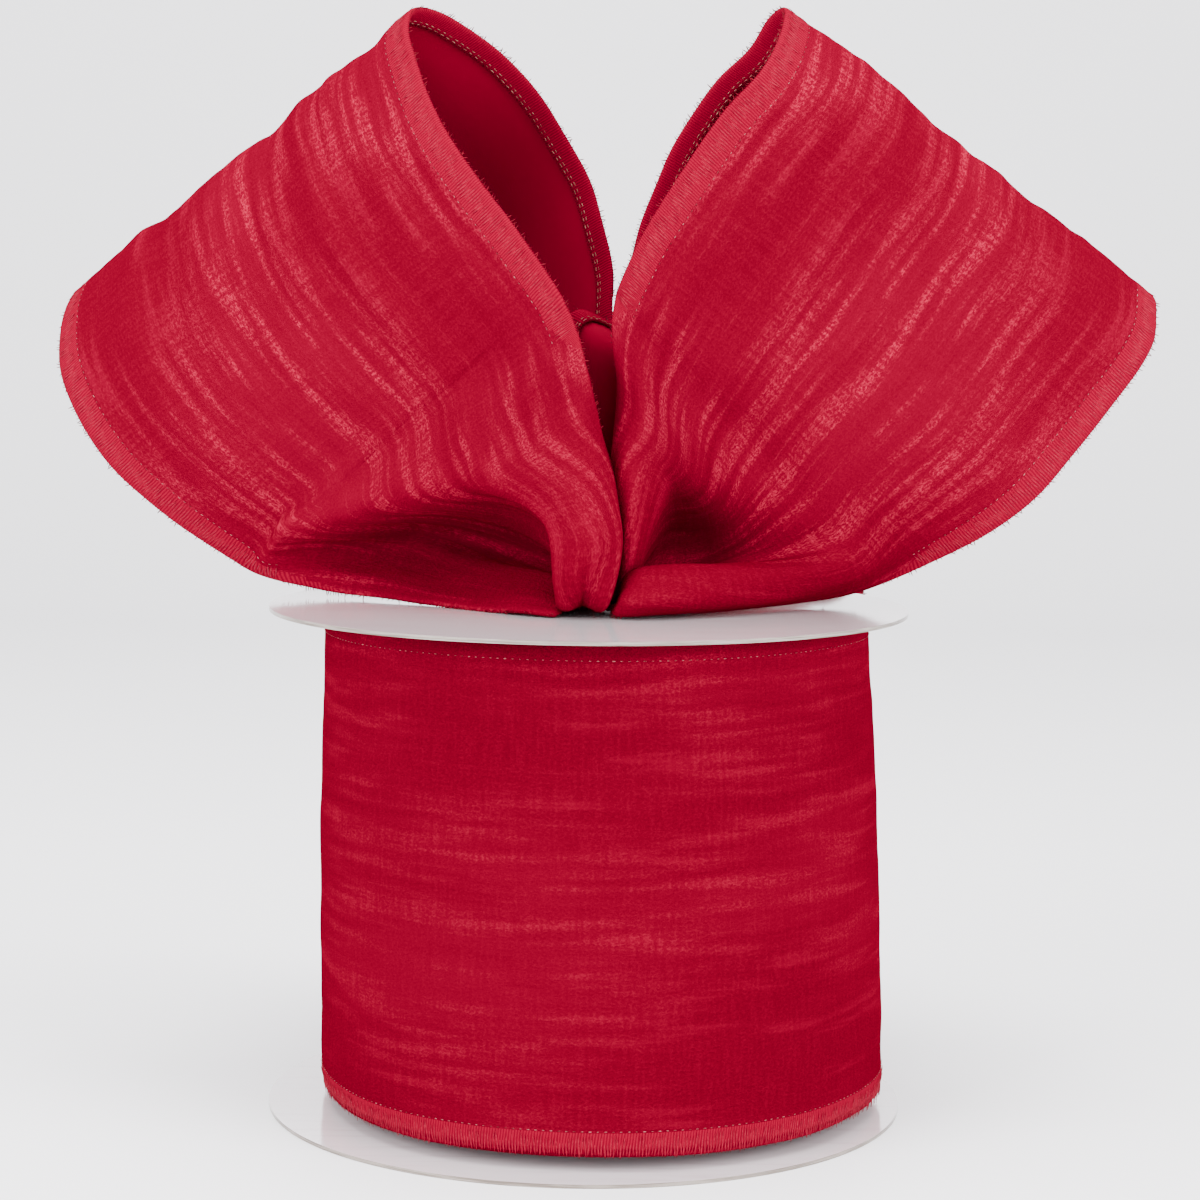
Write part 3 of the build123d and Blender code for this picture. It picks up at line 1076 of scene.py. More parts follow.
# ---- a dressed stretch of ribbon --------------------------------------------
@dataclass
class Stretch:
    """One stretch of ribbon with its velvet, lining, wires and sewing.

    Attributes:
        name: Start of its pieces' names.
        surface: The ribbon's middle.
        nodes: CAD nodes that the layers stand for: velvet, satin, first wire and last wire.
        held: How the sheet is held. Not used.
        rests_on: Pieces that it lies on. Not used.
        crush: Height of the crushed streaks, in millimetres.
        seed: Seed of its streaks and threads.
        picots: Whether loose fibres stand out of its edges.
        hem_last: Distance of the last hem's stitches from its edge, in millimetres.
        hem_from: Distances along at which the first and the last hem begin to lie open to view.
        wound: Whether it lies on the roll, with its pile pressed flatter, and takes darker colours that are
            painted shade and less painted sheen.
    """

    name: str
    surface: Surface
    nodes: tuple[str, str, str, str]
    held: str
    rests_on: tuple[str, ...]
    crush: float = 0.55
    seed: int = 5
    picots: bool = True
    hem_last: float = CUT.hem
    hem_from: tuple[float, float] = (OPEN_HEM, OPEN_HEM)
    wound: bool = False

    def relief(self, profile: Profile) -> np.ndarray:
        """Heights of the crushed streaks over the velvet's face.

        Args:
            profile: The velvet's section.

        Returns:
            Rows x places of heights, in millimetres.
        """
        place = profile.skin[:, 0]
        along, across = np.meshgrid(self.surface.along, place, indexing="ij")
        across = across + 1.2 * crumple(along, across, (34.0, 20.0), self.seed + 3)
        streaks = (
            0.60 * crumple(along, across, (44.0, 5.2), self.seed)
            + 0.34 * crumple(along, across, (20.0, 2.7), self.seed + 1)
            + 0.45 * crumple(along, across, (75.0, 9.0), self.seed + 2)
        )
        inside = np.clip((np.minimum(place, CUT.width - place) - CUT.hem) / 2.0, 0, 1)
        on_face = profile.skin[:, 1] > CUT.velvet - 0.01
        return np.maximum(streaks * self.crush, -0.3) * (inside * on_face)[None, :]

    def build(self, finishes: Finishes) -> list[bpy.types.Object]:
        """Make every piece of the stretch.

        Args:
            finishes: The materials.

        Returns:
            The pieces, the velvet first.
        """
        profile = velvet_profile()
        # The roll takes the darker velvet, whose colours are painted shade.
        cloth = finishes.wound_velvet if self.wound else finishes.velvet
        velvet = swept(f"{self.name}_face", self.surface, profile, [cloth, finishes.hem],
                       self.relief(profile), self.hem_from)
        hand_in(velvet, "velvet", self.nodes[0])
        coarse = self.surface.thinned(3)
        satin = swept(f"{self.name}_lining", coarse, satin_profile(), [finishes.satin])
        hand_in(satin, "satin", self.nodes[1])
        pieces = [velvet, satin]
        for edge, node in zip(Edge, self.nodes[2:]):
            wire = swept(f"{node}_core", coarse, wire_profile(edge), [finishes.wire])
            hand_in(wire, "edge_wire", node)
            pieces.append(wire)
        trims = self.sew(finishes)
        log.info("%s: %.0f mm of ribbon", self.name, self.surface.length)
        return pieces + trims

    def line(self, edge: Edge, inward: float, height: float, grain: Grain) -> tuple:
        """A seam's line, where that edge's hem lies open to view.

        Args:
            edge: The edge that it follows.
            inward: Its distance from that edge, in millimetres.
            height: Its height over the ribbon's middle.
            grain: The way its threads lie.

        Returns:
            Points, grains and ways up of the line.
        """
        start = self.hem_from[0 if edge is Edge.FIRST else 1]
        # A hem that opens part of the way along is sewn from 9 mm after its start.
        begin = -1.0 if start == HIDDEN_HEM else start + 9.0
        keep = self.surface.along >= begin
        return tuple(part[keep] for part in seam_line(self.surface, edge.inward(inward), height, grain))

    def sew(self, finishes: Finishes) -> list[bpy.types.Object]:
        """Add the hems' threads and the loose fibres of the edges.

        Args:
            finishes: The materials.

        Returns:
            The pieces of thread.
        """
        first, last = Edge
        above, below = CUT.velvet, -0.9
        shown = [edge for edge, start in zip(Edge, self.hem_from) if start != HIDDEN_HEM]
        rows = {
            "running_stitch": (
                Stitching(1.5, 0.75, 0.22, 0.2, 6.0, 0.35, self.seed),
                [self.line(first, CUT.hem, above + 0.04, Grain.ALONG),
                 self.line(last, self.hem_last, above + 0.04, Grain.ALONG)],
                finishes.pink_stitch,
            ),
            "lining_stitch": (
                Stitching(1.6, 1.1, 0.18, 0.16, 5.0, 0.3, self.seed + 1),
                [seam_line(self.surface, edge.inward(place), below, Grain.ALONG)
                 for edge in Edge for place in (4.2, 3.5)],
                finishes.pale_stitch,
            ),
            "overlock": (
                Stitching(0.62, CUT.hem - 0.6, 0.36, 0.2, 7.0, 0.3, self.seed + 2),
                [self.line(edge, CUT.hem / 2, above - 0.03, Grain.ACROSS) for edge in shown],
                finishes.overlock,
            ),
        }
        if self.picots:
            rows["picots"] = (
                Stitching(0.6, 2.4, 0.26, 0.26, 40.0, 0.8, self.seed + 3),
                [seam_line(self.surface, edge.inward(0.1), -0.1, Grain.OUT) for edge in Edge],
                finishes.picot,
            )
        trims = []
        for label, (stitching, lines, material) in rows.items():
            trim = stitching.sew(f"{self.name}_{label}", lines, material)
            hand_in(trim, "velvet")
            trims.append(trim)
        return trims


# ---- ribs -------------------------------------------------------------------
class Ribs:
    """Ribbon shaped over ribs: lines across it, each through the same run of features."""

    def __init__(self, spacing: float = 1.0, rounds: int = 2) -> None:
        """Start with no ribs.

        Args:
            spacing: Distance between rows of the grid, in millimetres.
            rounds: Rounds of softening.
        """
        self.lines: list[np.ndarray] = []
        self.spacing = spacing
        self.rounds = rounds

    def add(self, *points: Point) -> None:
        """Add the next rib, from the first edge to the last."""
        self.lines.append(np.array(points, float))

    def refine(self, times: int) -> None:
        """Read every rib so far at more places.

        Args:
            times: How many places there are for each old one.
        """
        for number, line in enumerate(self.lines):
            share = np.linspace(0, len(line) - 1, times * (len(line) - 1) + 1)
            index = np.minimum(share.astype(int), len(line) - 2)
            knots = distances(line)
            places = knots[index] + (share - index) * (knots[index + 1] - knots[index])
            self.lines[number] = spline(line, knots, places)

    def grid(self, columns: int = 120) -> np.ndarray:
        """Draw the ribbon over all the ribs.

        Args:
            columns: Points across it.

        Returns:
            Rows x columns x 3 points, in millimetres.
        """
        features = len(self.lines[0])
        share = np.linspace(0, features - 1, columns)
        index = np.minimum(share.astype(int), features - 2)
        fine = []
        for line in self.lines:
            knots = distances(line)
            places = knots[index] + (share - index) * (knots[index + 1] - knots[index])
            fine.append(spline(line, knots, places))
        fine = np.array(fine)
        knots = np.concatenate([[0], np.cumsum(gaps(fine).mean(axis=1))])
        rows = np.linspace(0, knots[-1], int(knots[-1] / self.spacing) + 1)
        return softened(spline(fine, knots, rows), self.rounds)


# Every rib of a loop runs through this many features, so that each feature follows on along the ribbon.
FEATURES = 11


@dataclass
class Loop:
    """One loop's own axes, for the ribs at its back.

    Attributes:
        lengthways: From the pinch to the far fold.
        width_way: Across the ribbon, towards the other loop.
        pinch: Where the loops meet, in millimetres.
    """

    lengthways: np.ndarray
    width_way: np.ndarray
    pinch: Point = (0.0, 0.0, 107.0)

    def __post_init__(self) -> None:
        """Square up the loop's own axes."""
        self.width_way = self.width_way / np.linalg.norm(self.width_way)
        along = self.lengthways - self.width_way * (self.lengthways @ self.width_way)
        self.lengthways = along / np.linalg.norm(along)
        self.forwards = np.cross(self.lengthways, self.width_way)
        if self.forwards[1] > 0:
            self.forwards = -self.forwards

    def place(self, along: float, forward: float, across: float) -> np.ndarray:
        """A point in the frame from the loop's own coordinates, in millimetres.

        Args:
            along: Distance from the pinch towards the far fold.
            forward: Distance forward of the pinch.
            across: Distance across the ribbon, towards the other loop.

        Returns:
            The point.
        """
        return (np.array(self.pinch) + self.lengthways * along + self.forwards * forward
                + self.width_way * across)

    def pleats(self, along: float, forward: float, half: float, depth: float,
               waves: float = 2.5) -> np.ndarray:
        """A gathered rib on the back of the loop.

        Args:
            along: Distance from the pinch.
            forward: Place forward of the pinch.
            half: Half the width that is left.
            depth: Depth of the pleats.
            waves: Number of pleats.

        Returns:
            The rib's points.
        """
        points = []
        for step in range(FEATURES):
            share = step / (FEATURES - 1)
            wave = depth * math.sin(2 * math.pi * waves * share + 0.6)
            points.append(self.place(along, forward + wave, half * (2 * share - 1)))
        return np.array(points)


def leaf(outer: Point, inner: Point, crown: float) -> np.ndarray:
    """A rib across one leaf of a loop.

    Args:
        outer: Its end at the outer edge, in millimetres.
        inner: Its end at the inner edge.
        crown: How far its middle stands forward of the straight line.

    Returns:
        The rib's points.
    """
    share = np.linspace(0, 1, FEATURES)[:, None]
    line = np.array(outer, float) * (1 - share) + np.array(inner, float) * share
    line[:, 1] -= crown * 4 * (share * (1 - share))[:, 0]
    return line


def bundle(height: float, radius: float, start: float, end: float) -> np.ndarray:
    """A rib folded to and fro inside the hub hole.

    Args:
        height: Its height, in millimetres.
        radius: Radius of the bundle.
        start: Direction of its first end, in degrees.
        end: Direction of its last end.

    Returns:
        The rib's points.
    """
    points = []
    for step in range(FEATURES):
        turn = math.radians(start + (end - start) * step / (FEATURES - 1))
        reach = radius * (1.0 if step % 2 else 0.45)
        points.append((reach * math.cos(turn), reach * math.sin(turn), height))
    return np.array(points)


def left_loop_surface() -> Surface:
    """Shape the left loop: its front leaf folds over a hollow, and its lower edge lies on the flange.

    Returns:
        The loop's middle.
    """
    loop = Loop(np.array([-0.632, 0.168, 0.757]), np.array([0.753, -0.320, 0.586]))
    ribs = Ribs()
    # Front of the pinch, from inside the hub hole up: outer edge, lower leaf, hollow, overhang,
    # crest, front leaf or finger, inner edge.
    ribs.lines.append(bundle(101.0, 5.5, 180, 268))
    ribs.lines.append(bundle(105.2, 7.5, 180, 268))
    ribs.add((-8.5, -10, 105.4), (-8, -8, 105.6), (-7, -5, 106), (-6, -2, 106.5), (-6, -6, 107),
             (-6.5, -10, 107), (-6, -13, 107), (-3, -15, 107.5), (-0.5, -14, 107.5), (1, -12, 107.5),
             (1, -8, 107.5))
    ribs.add((-6, -21, 105.4), (-5.5, -14, 105.8), (-4.5, -6, 106.5), (-3.5, 1, 107.5),
             (-4.2, -6, 108.5), (-5.8, -15, 108.3), (-6.2, -24.5, 107), (-4, -28.5, 107),
             (-1.3, -25, 108.5), (2.2, -28.5, 107), (4.6, -19, 109))
    ribs.add((-6.5, -27, 105.3), (-6, -18, 107), (-4.5, -8, 108.5), (-2, 3, 110), (-3.5, -6, 112),
             (-6, -16, 114.5), (-7.2, -25, 117), (-3.5, -31, 117.5), (1.5, -31.5, 118),
             (5.8, -27, 118.5), (5.2, -16, 119))
    ribs.add((-13.7, -23, 105.3), (-11, -15, 108), (-8, -4, 110.5), (-4, 8, 111.5), (-6, -3, 116),
             (-8, -13, 121.5), (-8.2, -23, 125), (-4.5, -29, 127), (0, -31, 128.5), (4, -27, 130),
             (4.6, -17, 131))
    ribs.add((-22, -15.5, 105.3), (-19.5, -7, 108), (-16, 3, 110.5), (-10, 14, 113.5), (-12.5, 4, 120.5),
             (-14.5, -9, 126.5), (-15.5, -20.5, 130.5), (-9, -25.5, 134.5), (-3.5, -28.5, 137.5),
             (0.5, -28.5, 140), (2.5, -21, 141.5))
    ribs.add((-33, -6, 105.3), (-30, 2, 108.3), (-26, 11, 111.5), (-21, 17.5, 116), (-22.8, 8, 121.8),
             (-24.2, -4, 126), (-25.3, -15, 129), (-18, -19.5, 135), (-11, -23, 140.5),
             (-4.5, -26.5, 146), (0.5, -29, 150))
    ribs.add((-45, 5, 105.3), (-43.5, 10, 109), (-41, 16, 113), (-38.5, 19.5, 117.4), (-39, 11, 120.8),
             (-39.5, 1, 123.3), (-40, -9.5, 126), (-30.5, -13.5, 133.5), (-20.5, -18, 141),
             (-10.5, -23.5, 149), (-1.2, -29, 156.5))
    ribs.add((-56, 11, 105.7), (-56.3, 13, 109), (-56, 14.5, 112.5), (-55.2, 14, 115.5),
             (-55.6, 9, 117.6), (-56, 3.5, 118.8), (-56, -2, 120.5), (-43.5, -8, 130.5),
             (-30.8, -14, 141.5), (-17, -21, 152), (-2.6, -28.3, 161.8))
    ribs.add((-66.5, 18, 107.3), (-67, 15, 109.8), (-67, 12, 112.2), (-66, 9, 114.8), (-64, 6.5, 117.5),
             (-60, 3.8, 121), (-53.5, 0, 126), (-42, -6.5, 136.5), (-30, -13, 147), (-17, -20.3, 156.3),
             (-4, -28, 165))
    # Front leaf up to the far fold, then the back leaf: outer end, inner end.
    for outer, inner, crown in (
        ((-77.5, 17, 112.5), (-8, -27.3, 172), 1.5),
        ((-90, 14.5, 121), (-14.5, -25, 181), 1.0),
        ((-100.5, 14, 130), (-21.5, -21, 190), 0.5),
        ((-107.5, 16, 139), (-28, -17, 199), 0.0),
        ((-112.5, 20, 148.5), (-32.5, -12, 207), 0.0),
        ((-114.5, 26, 156), (-36, -6, 216), 0.0),
        ((-114.5, 32, 163.5), (-38, -1, 223), 0.0),
        ((-113, 36, 167.8), (-37, 3.5, 227), 0.0),
        ((-109.5, 41, 168), (-33, 8, 227), 0.0),
        ((-101.5, 47, 164), (-25, 14, 223), 0.0),
        ((-88, 55, 152), (-11.5, 23, 211), -1.0),
        ((-82.5, 57, 143.5), (-6, 26.5, 202.5), -1.0),
        ((-77, 56, 135), (-0.5, 27, 193), -1.0),
        ((-72.5, 53, 127), (2, 25.5, 185), -1.0),
        ((-67, 47, 118), (4.5, 22, 173), -1.0),
        ((-62, 42, 112), (4.5, 19, 163.5), -1.0),
    ):
        ribs.lines.append(leaf(outer, inner, crown))
    ribs.lines.append(loop.pleats(41.0, -21.5, 38.0, 4.5))
    ribs.lines.append(loop.pleats(30.0, -19.0, 29.5, 5.0))
    ribs.lines.append(loop.pleats(19.5, -15.0, 20.0, 4.5))
    ribs.lines.append(loop.pleats(9.5, -10.0, 9.5, 3.0))
    ribs.lines.append(bundle(106.5, 7.8, 178, 92))
    ribs.lines.append(bundle(101.0, 5.5, 178, 92))
    return Surface(ribs.grid(), -1, smooth=5.0)


def right_loop_surface() -> Surface:
    """Shape the right loop: a puffed fold along the flange, a deep hollow and a narrow finger above it.

    Returns:
        The loop's middle.
    """
    loop = Loop(np.array([0.626, -0.05, 0.780]), np.array([-0.766, -0.229, 0.600]))
    ribs = Ribs()
    # Front of the pinch, from inside the hub hole up: outer edge, puffed fold, its crest, hollow,
    # foot of the front leaf, front leaf, finger, inner edge.
    ribs.lines.append(bundle(101.0, 5.5, 360, 272))
    ribs.lines.append(bundle(105.2, 7.5, 360, 272))
    ribs.add((5, -14, 105.4), (6, -13, 106), (6.5, -9, 106.5), (7, -2, 106.5), (8, -2, 107.5),
             (8.5, -5, 108), (8.5, -8, 108.3), (8, -12, 108.5), (6.5, -14.5, 108.5), (5, -12, 108.5),
             (4, -7, 108.5))
    ribs.add((4.8, -23, 105.3), (6, -23.5, 107), (6.5, -19, 108.8), (7, 1, 107.5), (9, 2, 110),
             (10, -4, 113), (10, -11, 114), (9.8, -18, 114.5), (7.8, -22.5, 114.5), (6.3, -18, 114),
             (5.5, -9, 113))
    ribs.add((6.5, -26.8, 105.3), (7.5, -29.5, 108), (8.5, -26, 112), (9, 0, 109), (11.5, 3, 114),
             (12.5, -4, 119), (12.3, -12, 122), (11, -20, 123.5), (8.3, -24.5, 124), (6, -20, 123.5),
             (5.5, -10, 122))
    ribs.add((18, -23, 105.3), (19.5, -27.3, 108.5), (18.5, -24, 113), (15, 2, 111.5), (16.5, 5, 119),
             (17, -3, 126), (15.8, -12, 131), (13, -20, 134.8), (8, -24.5, 137), (4.6, -21, 138),
             (4.2, -13, 138))
    ribs.add((31, -10, 105.4), (32.5, -18.5, 108.3), (31, -19, 113), (27, 3, 114), (26.5, -2, 120.5),
             (24.5, -10, 126.5), (20, -16.5, 132.5), (15, -21, 139), (10, -24.3, 144.5), (7, -22, 148.5),
             (6, -21, 152))
    ribs.add((44.5, 3, 105.7), (46, -5, 108.5), (43.5, -11.5, 113.5), (38, -3, 116.5), (35.5, -7, 122),
             (31, -12.5, 128.5), (25.5, -16, 135), (19.5, -19.5, 142), (13, -22.8, 148.5),
             (7.5, -25.3, 154.5), (3.4, -28, 160.5))
    ribs.add((58.5, 13, 107.2), (59.5, 5, 111), (57, -2, 115.5), (52.5, -6, 119.5), (47, -8.8, 124.5),
             (40.5, -11.8, 131), (33.5, -15, 138), (26.5, -18.2, 145.5), (19, -21.5, 152.5),
             (12, -24.5, 160.5), (5, -27.3, 169.5))
    for outer, inner, crown in (
        ((72.5, -1, 115), (5, -28.5, 170), 5.0),
        ((81, -7, 120.5), (8.5, -30, 178.5), 3.5),
        ((89.5, -10, 127), (12.5, -31.5, 185.5), 2.0),
        ((97.5, -9.5, 136), (18, -33, 194), 1.0),
        ((106.5, -8, 147.5), (26, -33, 205.5), 0.0),
        ((112, -6, 155), (31.5, -31.5, 211.5), 0.0),
        ((115.5, -3, 161), (35, -28, 217), 0.0),
        ((116.3, 0.5, 166), (37, -23, 222), 0.0),
        ((116.6, 4.5, 169.5), (37.5, -18, 226.3), 0.0),
        ((115, 9, 168), (35, -13, 225), 0.0),
        ((111, 14, 162), (31.5, -8, 219), 0.0),
        ((104.5, 20, 156), (25, -2, 213), -1.0),
        ((99.5, 23, 149), (20, 2, 206), -1.0),
        ((95, 25, 141.5), (15.5, 4.5, 198.5), -1.0),
        ((91.5, 26, 134), (12.5, 6, 191), -1.0),
        ((87.5, 26.5, 126), (9.5, 6, 183), -1.0),
        ((80, 26, 118), (7.5, 5.5, 175), -1.0),
        ((70, 25, 112), (4.5, 5, 164), -1.0),
    ):
        ribs.lines.append(leaf(outer, inner, crown))
    ribs.lines.append(loop.pleats(42.0, -8.0, 38.5, 4.0))
    ribs.lines.append(loop.pleats(30.0, -8.5, 29.5, 5.0))
    ribs.lines.append(loop.pleats(19.0, -8.5, 19.5, 4.5))
    ribs.lines.append(loop.pleats(9.0, -7.5, 9.0, 3.0))
    ribs.lines.append(bundle(106.5, 7.8, 2, 88))
    ribs.lines.append(bundle(101.0, 5.5, 2, 88))
    return Surface(ribs.grid(), 1, smooth=5.0)


@dataclass
class Bow:
    """The two loops, the tail and the pinched middle.

    Attributes:
        crease_depth: Depth of the loops' long creases, in millimetres.
        edge_wave: Depth of the waves along their edges.
        blend_start: Distance from the tie at which a loop begins to follow its own swing. Not used.
        blend_end: Distance at which it follows it fully. Not used.
        tail_lean: How far the tail points to the side, in degrees.
        tail_reach: Distance from the tie to the tail's end, in millimetres.
        tail_pleats: Number of pleats in the tail.
    """

    crease_depth: float = 0.85
    edge_wave: float = 0.55
    blend_start: float = 6.0
    blend_end: float = 42.0
    tail_lean: float = 10.0
    tail_reach: float = 75.0
    tail_pleats: float = 5.0

    SEEDS = {Side.LEFT: 11, Side.RIGHT: 47}
    HEM_FROM = {Side.LEFT: (74.0, 70.0), Side.RIGHT: (66.0, 60.0)}

    def loop(self, side: Side, finishes: Finishes) -> None:
        """Make one loop.

        Args:
            side: Which loop.
            finishes: The materials.
        """
        surface = left_loop_surface() if side is Side.LEFT else right_loop_surface()
        seed = self.SEEDS[side]
        along, across = surface.places()
        depth = self.crease_depth * crumple(along, across, (75.0, 10.0), seed)
        depth += 0.45 * self.crease_depth * crumple(along, across, (40.0, 5.0), seed + 1)
        rim = np.clip(np.minimum(across, CUT.width - across) / 14.0, 0.25, 1)
        ends = np.clip(np.minimum(along - along.min(), along.max() - along) / 30.0, 0, 1)
        wave = self.edge_wave * crumple(along, across * 0, (11.0, 1.0), seed + 2) * (1 - rim)
        surface.crease((depth * rim + wave) * ends)
        name = side.value
        nodes = (f"{name}_velvet", f"{name}_satin", f"{name}_outer_wire", f"{name}_inner_wire")
        stretch = Stretch(name, surface, nodes, "gathered", ("top_flange",), seed=seed,
                          hem_from=self.HEM_FROM[side])
        for piece in stretch.build(finishes):
            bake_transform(piece)

    def tail_rib(self, reach: float, half: float, depth: float, base: float) -> np.ndarray:
        """A pleated rib across the tail.

        Args:
            reach: Its distance from the tie, in millimetres.
            half: Half the width that the pleats leave.
            depth: Depth of the pleats.
            base: Height of the tail over the frame's floor where it starts.

        Returns:
            The rib's points.
        """
        lean = math.radians(self.tail_lean)
        points = []
        for step in range(2 * FEATURES - 1):
            share = step / (2 * FEATURES - 2)
            side = half * (2 * share - 1)
            wave = depth * (0.5 + 0.5 * math.sin(2 * math.pi * self.tail_pleats * share - 1.2))
            x = reach * math.sin(lean) + side * math.cos(lean)
            y = reach * math.cos(lean) - side * math.sin(lean)
            # What stands out past the flange, at 68 mm, droops.
            droop = 0.34 * max(math.hypot(x, y) - 68.0, 0.0)
            points.append((x, y, base + 2.6 * (reach / self.tail_reach) ** 2 + wave - droop))
        return np.array(points)

    def tail(self, finishes: Finishes) -> None:
        """Make the tail that lies back over the flange.

        Args:
            finishes: The materials.
        """
        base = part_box("tail_velvet")[0][2] / MM + 0.25
        ribs = Ribs()
        ribs.lines.append(bundle(101.0, 5.0, 30, 150)[::-1])
        ribs.lines.append(bundle(105.0, 7.0, 20, 160)[::-1])
        ribs.refine(2)
        for reach, half, depth in ((10.0, 10.5, 5.5), (17.0, 20.0, 8.0), (25.0, 30.0, 7.0), (34.0, 39.0, 5.0),
                                   (44.0, 46.5, 2.8), (56.0, 50.4, 1.0), (66.0, 50.8, 0.4),
                                   (self.tail_reach, 50.8, 0.3)):
            ribs.lines.append(self.tail_rib(reach, half, depth, base))
        surface = Surface.looking(ribs.grid(), -1, np.array([0.0, 0.0, 1.0]))
        nodes = ("tail_velvet", "tail_satin", "tail_outer_wire", "tail_inner_wire")
        stretch = Stretch("tail", surface, nodes, "laid", ("top_flange",), crush=0.3, seed=83)
        for piece in stretch.build(finishes):
            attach(piece, "bow")

    def gather(self, finishes: Finishes) -> None:
        """Make the pleated bundle that goes down through the hub hole.

        Args:
            finishes: The materials.
        """
        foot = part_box("gather")[0][2] / MM
        levels = ((0.0, 6.0), (1.0, 6.7), (4.0, 6.9), (7.5, 7.4), (10.0, 7.8), (12.0, 6.2), (13.0, 3.0))
        around, folds = 168, 21
        rows = []
        for rise, radius in levels:
            turn = np.linspace(0, 2 * math.pi, around, endpoint=False)
            reach = radius * (0.93 + 0.07 * np.cos(folds * turn + 0.8 * np.sin(3 * turn)))
            height = np.full(around, foot + rise)
            rows.append(np.stack([reach * np.cos(turn), reach * np.sin(turn), height], 1))
        points = np.concatenate(rows + [np.array([[0, 0, foot], [0, 0, foot + 13.2]])])
        number = np.arange(len(levels) * around).reshape(len(levels), around)
        after = np.roll(number, -1, axis=1)
        faces = np.stack([number[:-1], after[:-1], after[1:], number[1:]], -1).reshape(-1, 4).tolist()
        bottom, top = len(points) - 2, len(points) - 1
        faces += [(bottom, after[0, k], number[0, k]) for k in range(around)]
        faces += [(top, number[-1, k], after[-1, k]) for k in range(around)]
        cloth = np.stack([points[:, 2], np.arctan2(points[:, 1], points[:, 0]) * 16.0], 1) * MM
        piece = new_piece("gather_bundle", points, faces, [finishes.velvet], None, cloth)
        hand_in(piece, "velvet", "gather")
        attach(piece, "bow")


